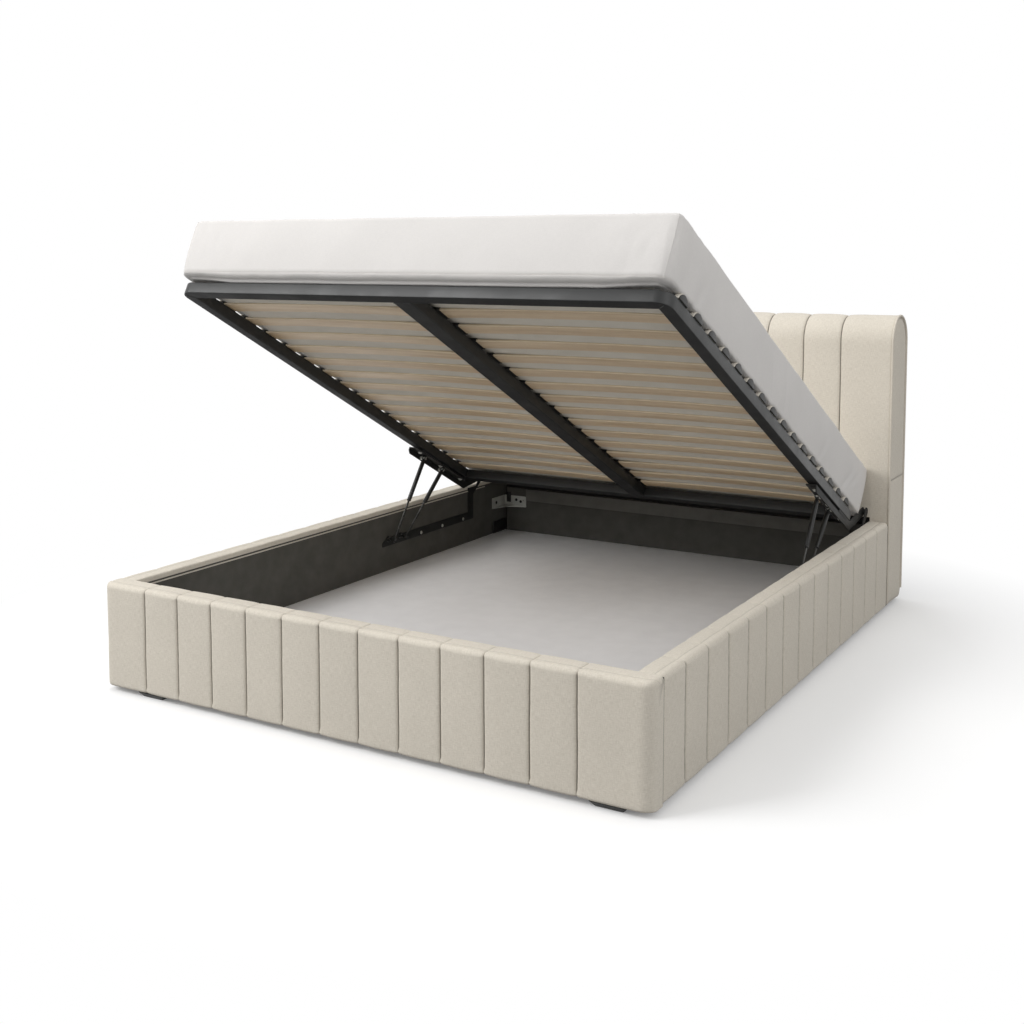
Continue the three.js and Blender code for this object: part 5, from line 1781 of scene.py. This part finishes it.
@dataclass
class Studio:
    """White floor and backdrop, soft lamps and the camera."""

    lens: float = 45.377
    camera_at: tuple[float, float, float] = (2.0469, -3.6871, 1.2782)
    yaw: float = 30.706
    pitch: float = 4.772
    shift: float = -0.1465
    sensor: float = 36.0
    reach: float = 60.0
    ambient: float = 0.56
    floor_shown: float = 0.84
    floor_glow: float = 0.15
    floor_bounce: float = 0.32
    white_from: float = 1.35
    white_to: float = 2.05

    def camera(self) -> None:
        """Places the camera."""
        data = bpy.data.cameras.new("camera")
        data.lens, data.sensor_width, data.shift_y = self.lens, self.sensor, self.shift
        made = bpy.data.objects.new("camera", data)
        made.location = self.camera_at
        made.rotation_euler = (math.radians(90 - self.pitch), 0, math.radians(self.yaw))
        bpy.context.scene.collection.objects.link(made)
        bpy.context.scene.camera = made

    @staticmethod
    def lamp(name: str, place: Sequence[float], aim: Sequence[float], size: float, power: float) -> None:
        """Adds a soft square lamp.

        Args:
            name: its name.
            place: where it hangs.
            aim: what it points at.
            size: length of its sides.
            power: its output in watts.
        """
        data = bpy.data.lights.new(name, "AREA")
        data.shape, data.size, data.energy = "SQUARE", size, power
        made = bpy.data.objects.new(name, data)
        made.location = place
        made.rotation_euler = (Vector(aim) - Vector(place)).to_track_quat("-Z", "Y").to_euler()
        bpy.context.scene.collection.objects.link(made)

    @staticmethod
    def _seen(graph: Graph) -> Socket:
        """Returns 1 for rays that show the background and 0 for those that light the object."""
        path = graph.node("ShaderNodeLightPath")
        seen = graph.math("ADD", path.outputs["Is Camera Ray"], path.outputs["Is Glossy Ray"], clamp=True)
        return graph.math("ADD", seen, path.outputs["Is Transmission Ray"], clamp=True)

    def world(self) -> None:
        """Sets the white surroundings."""
        made = bpy.data.worlds.new("surroundings")
        bpy.context.scene.world = made
        made.use_nodes = True
        made.node_tree.nodes.clear()
        graph = Graph(made.node_tree)
        strength = graph.span(self._seen(graph), 0.0, 1.0, self.ambient, 1.0)
        light = graph.node("ShaderNodeBackground", {"Color": (1, 1, 1, 1), "Strength": strength})
        graph.node("ShaderNodeOutputWorld", {0: light.outputs[0]})

    def floor(self) -> None:
        """Lays the floor: shaded near the bed, plain white further out, and duller to light that bounces off it."""
        mesh = bpy.data.meshes.new("floor")
        corners = oblong((-self.reach, -self.reach), (self.reach, self.reach))
        mesh.from_pydata([(*corner, 0) for corner in corners], [], [(0, 1, 2, 3)])
        material = blank_material("studio_floor")
        graph, white = Graph(material.node_tree), (1, 1, 1, 1)
        seen = self._seen(graph)
        shade = graph.span(seen, 0.0, 1.0, self.floor_bounce, self.floor_shown)
        grey = graph.node("ShaderNodeCombineColor", {0: shade, 1: shade, 2: shade}).outputs[0]
        matt = graph.node("ShaderNodeBsdfDiffuse", {"Color": grey})
        glow = graph.math("MULTIPLY", seen, self.floor_glow)
        lift = graph.node("ShaderNodeEmission", {"Color": white, "Strength": glow})
        plain = graph.node("ShaderNodeEmission", {"Color": white, "Strength": 1.0})
        place = graph.node("ShaderNodeTexCoord").outputs["Object"]
        away = graph.node("ShaderNodeVectorMath", {0: place}, operation="LENGTH").outputs["Value"]
        far = graph.math("MULTIPLY", seen, graph.span(away, self.white_from, self.white_to))
        near = graph.node("ShaderNodeAddShader", {0: matt.outputs[0], 1: lift.outputs[0]})
        both = graph.node("ShaderNodeMixShader", {0: far, 1: near.outputs[0], 2: plain.outputs[0]})
        graph.node("ShaderNodeOutputMaterial", {0: both.outputs[0]})
        mesh.materials.append(material)
        made = bpy.data.objects.new("floor", mesh)
        bpy.context.scene.collection.objects.link(made)

    def build(self) -> None:
        """Sets up the whole studio."""
        self.world()
        self.floor()
        self.lamp("key_lamp", (-3.6, -5.0, 4.6), (0, -0.3, 0.3), 3.0, 280.0)
        self.lamp("top_lamp", (-1.2, 0.6, 5.6), (0, 0, 0), 4.0, 80.0)
        self.lamp("fill_lamp", (4.4, -1.4, 3.0), (0, 0, 0.6), 3.0, 54.0)
        self.lamp("strip_lamp", (-4.9, -3.6, 3.25), (-0.5, -1.95, 1.15), 0.5, 21.0)
        self.camera()
        bpy.context.scene.view_settings.view_transform = "Standard"


def main() -> None:
    """Builds the bed piece by piece, then the studio round it."""
    logging.basicConfig(level=logging.INFO, format="%(message)s")
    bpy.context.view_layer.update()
    finishes, layout = Finishes(), LiftLayout()
    for part in (RailCovers, Headboard, StorageBox, SlatFrame, Struts, LiftPlates, Mattress):
        part(finishes, layout).build()
        LOG.info("%s done", part.__name__)
    Studio().build()
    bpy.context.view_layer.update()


if __name__ == "__main__":
    main()
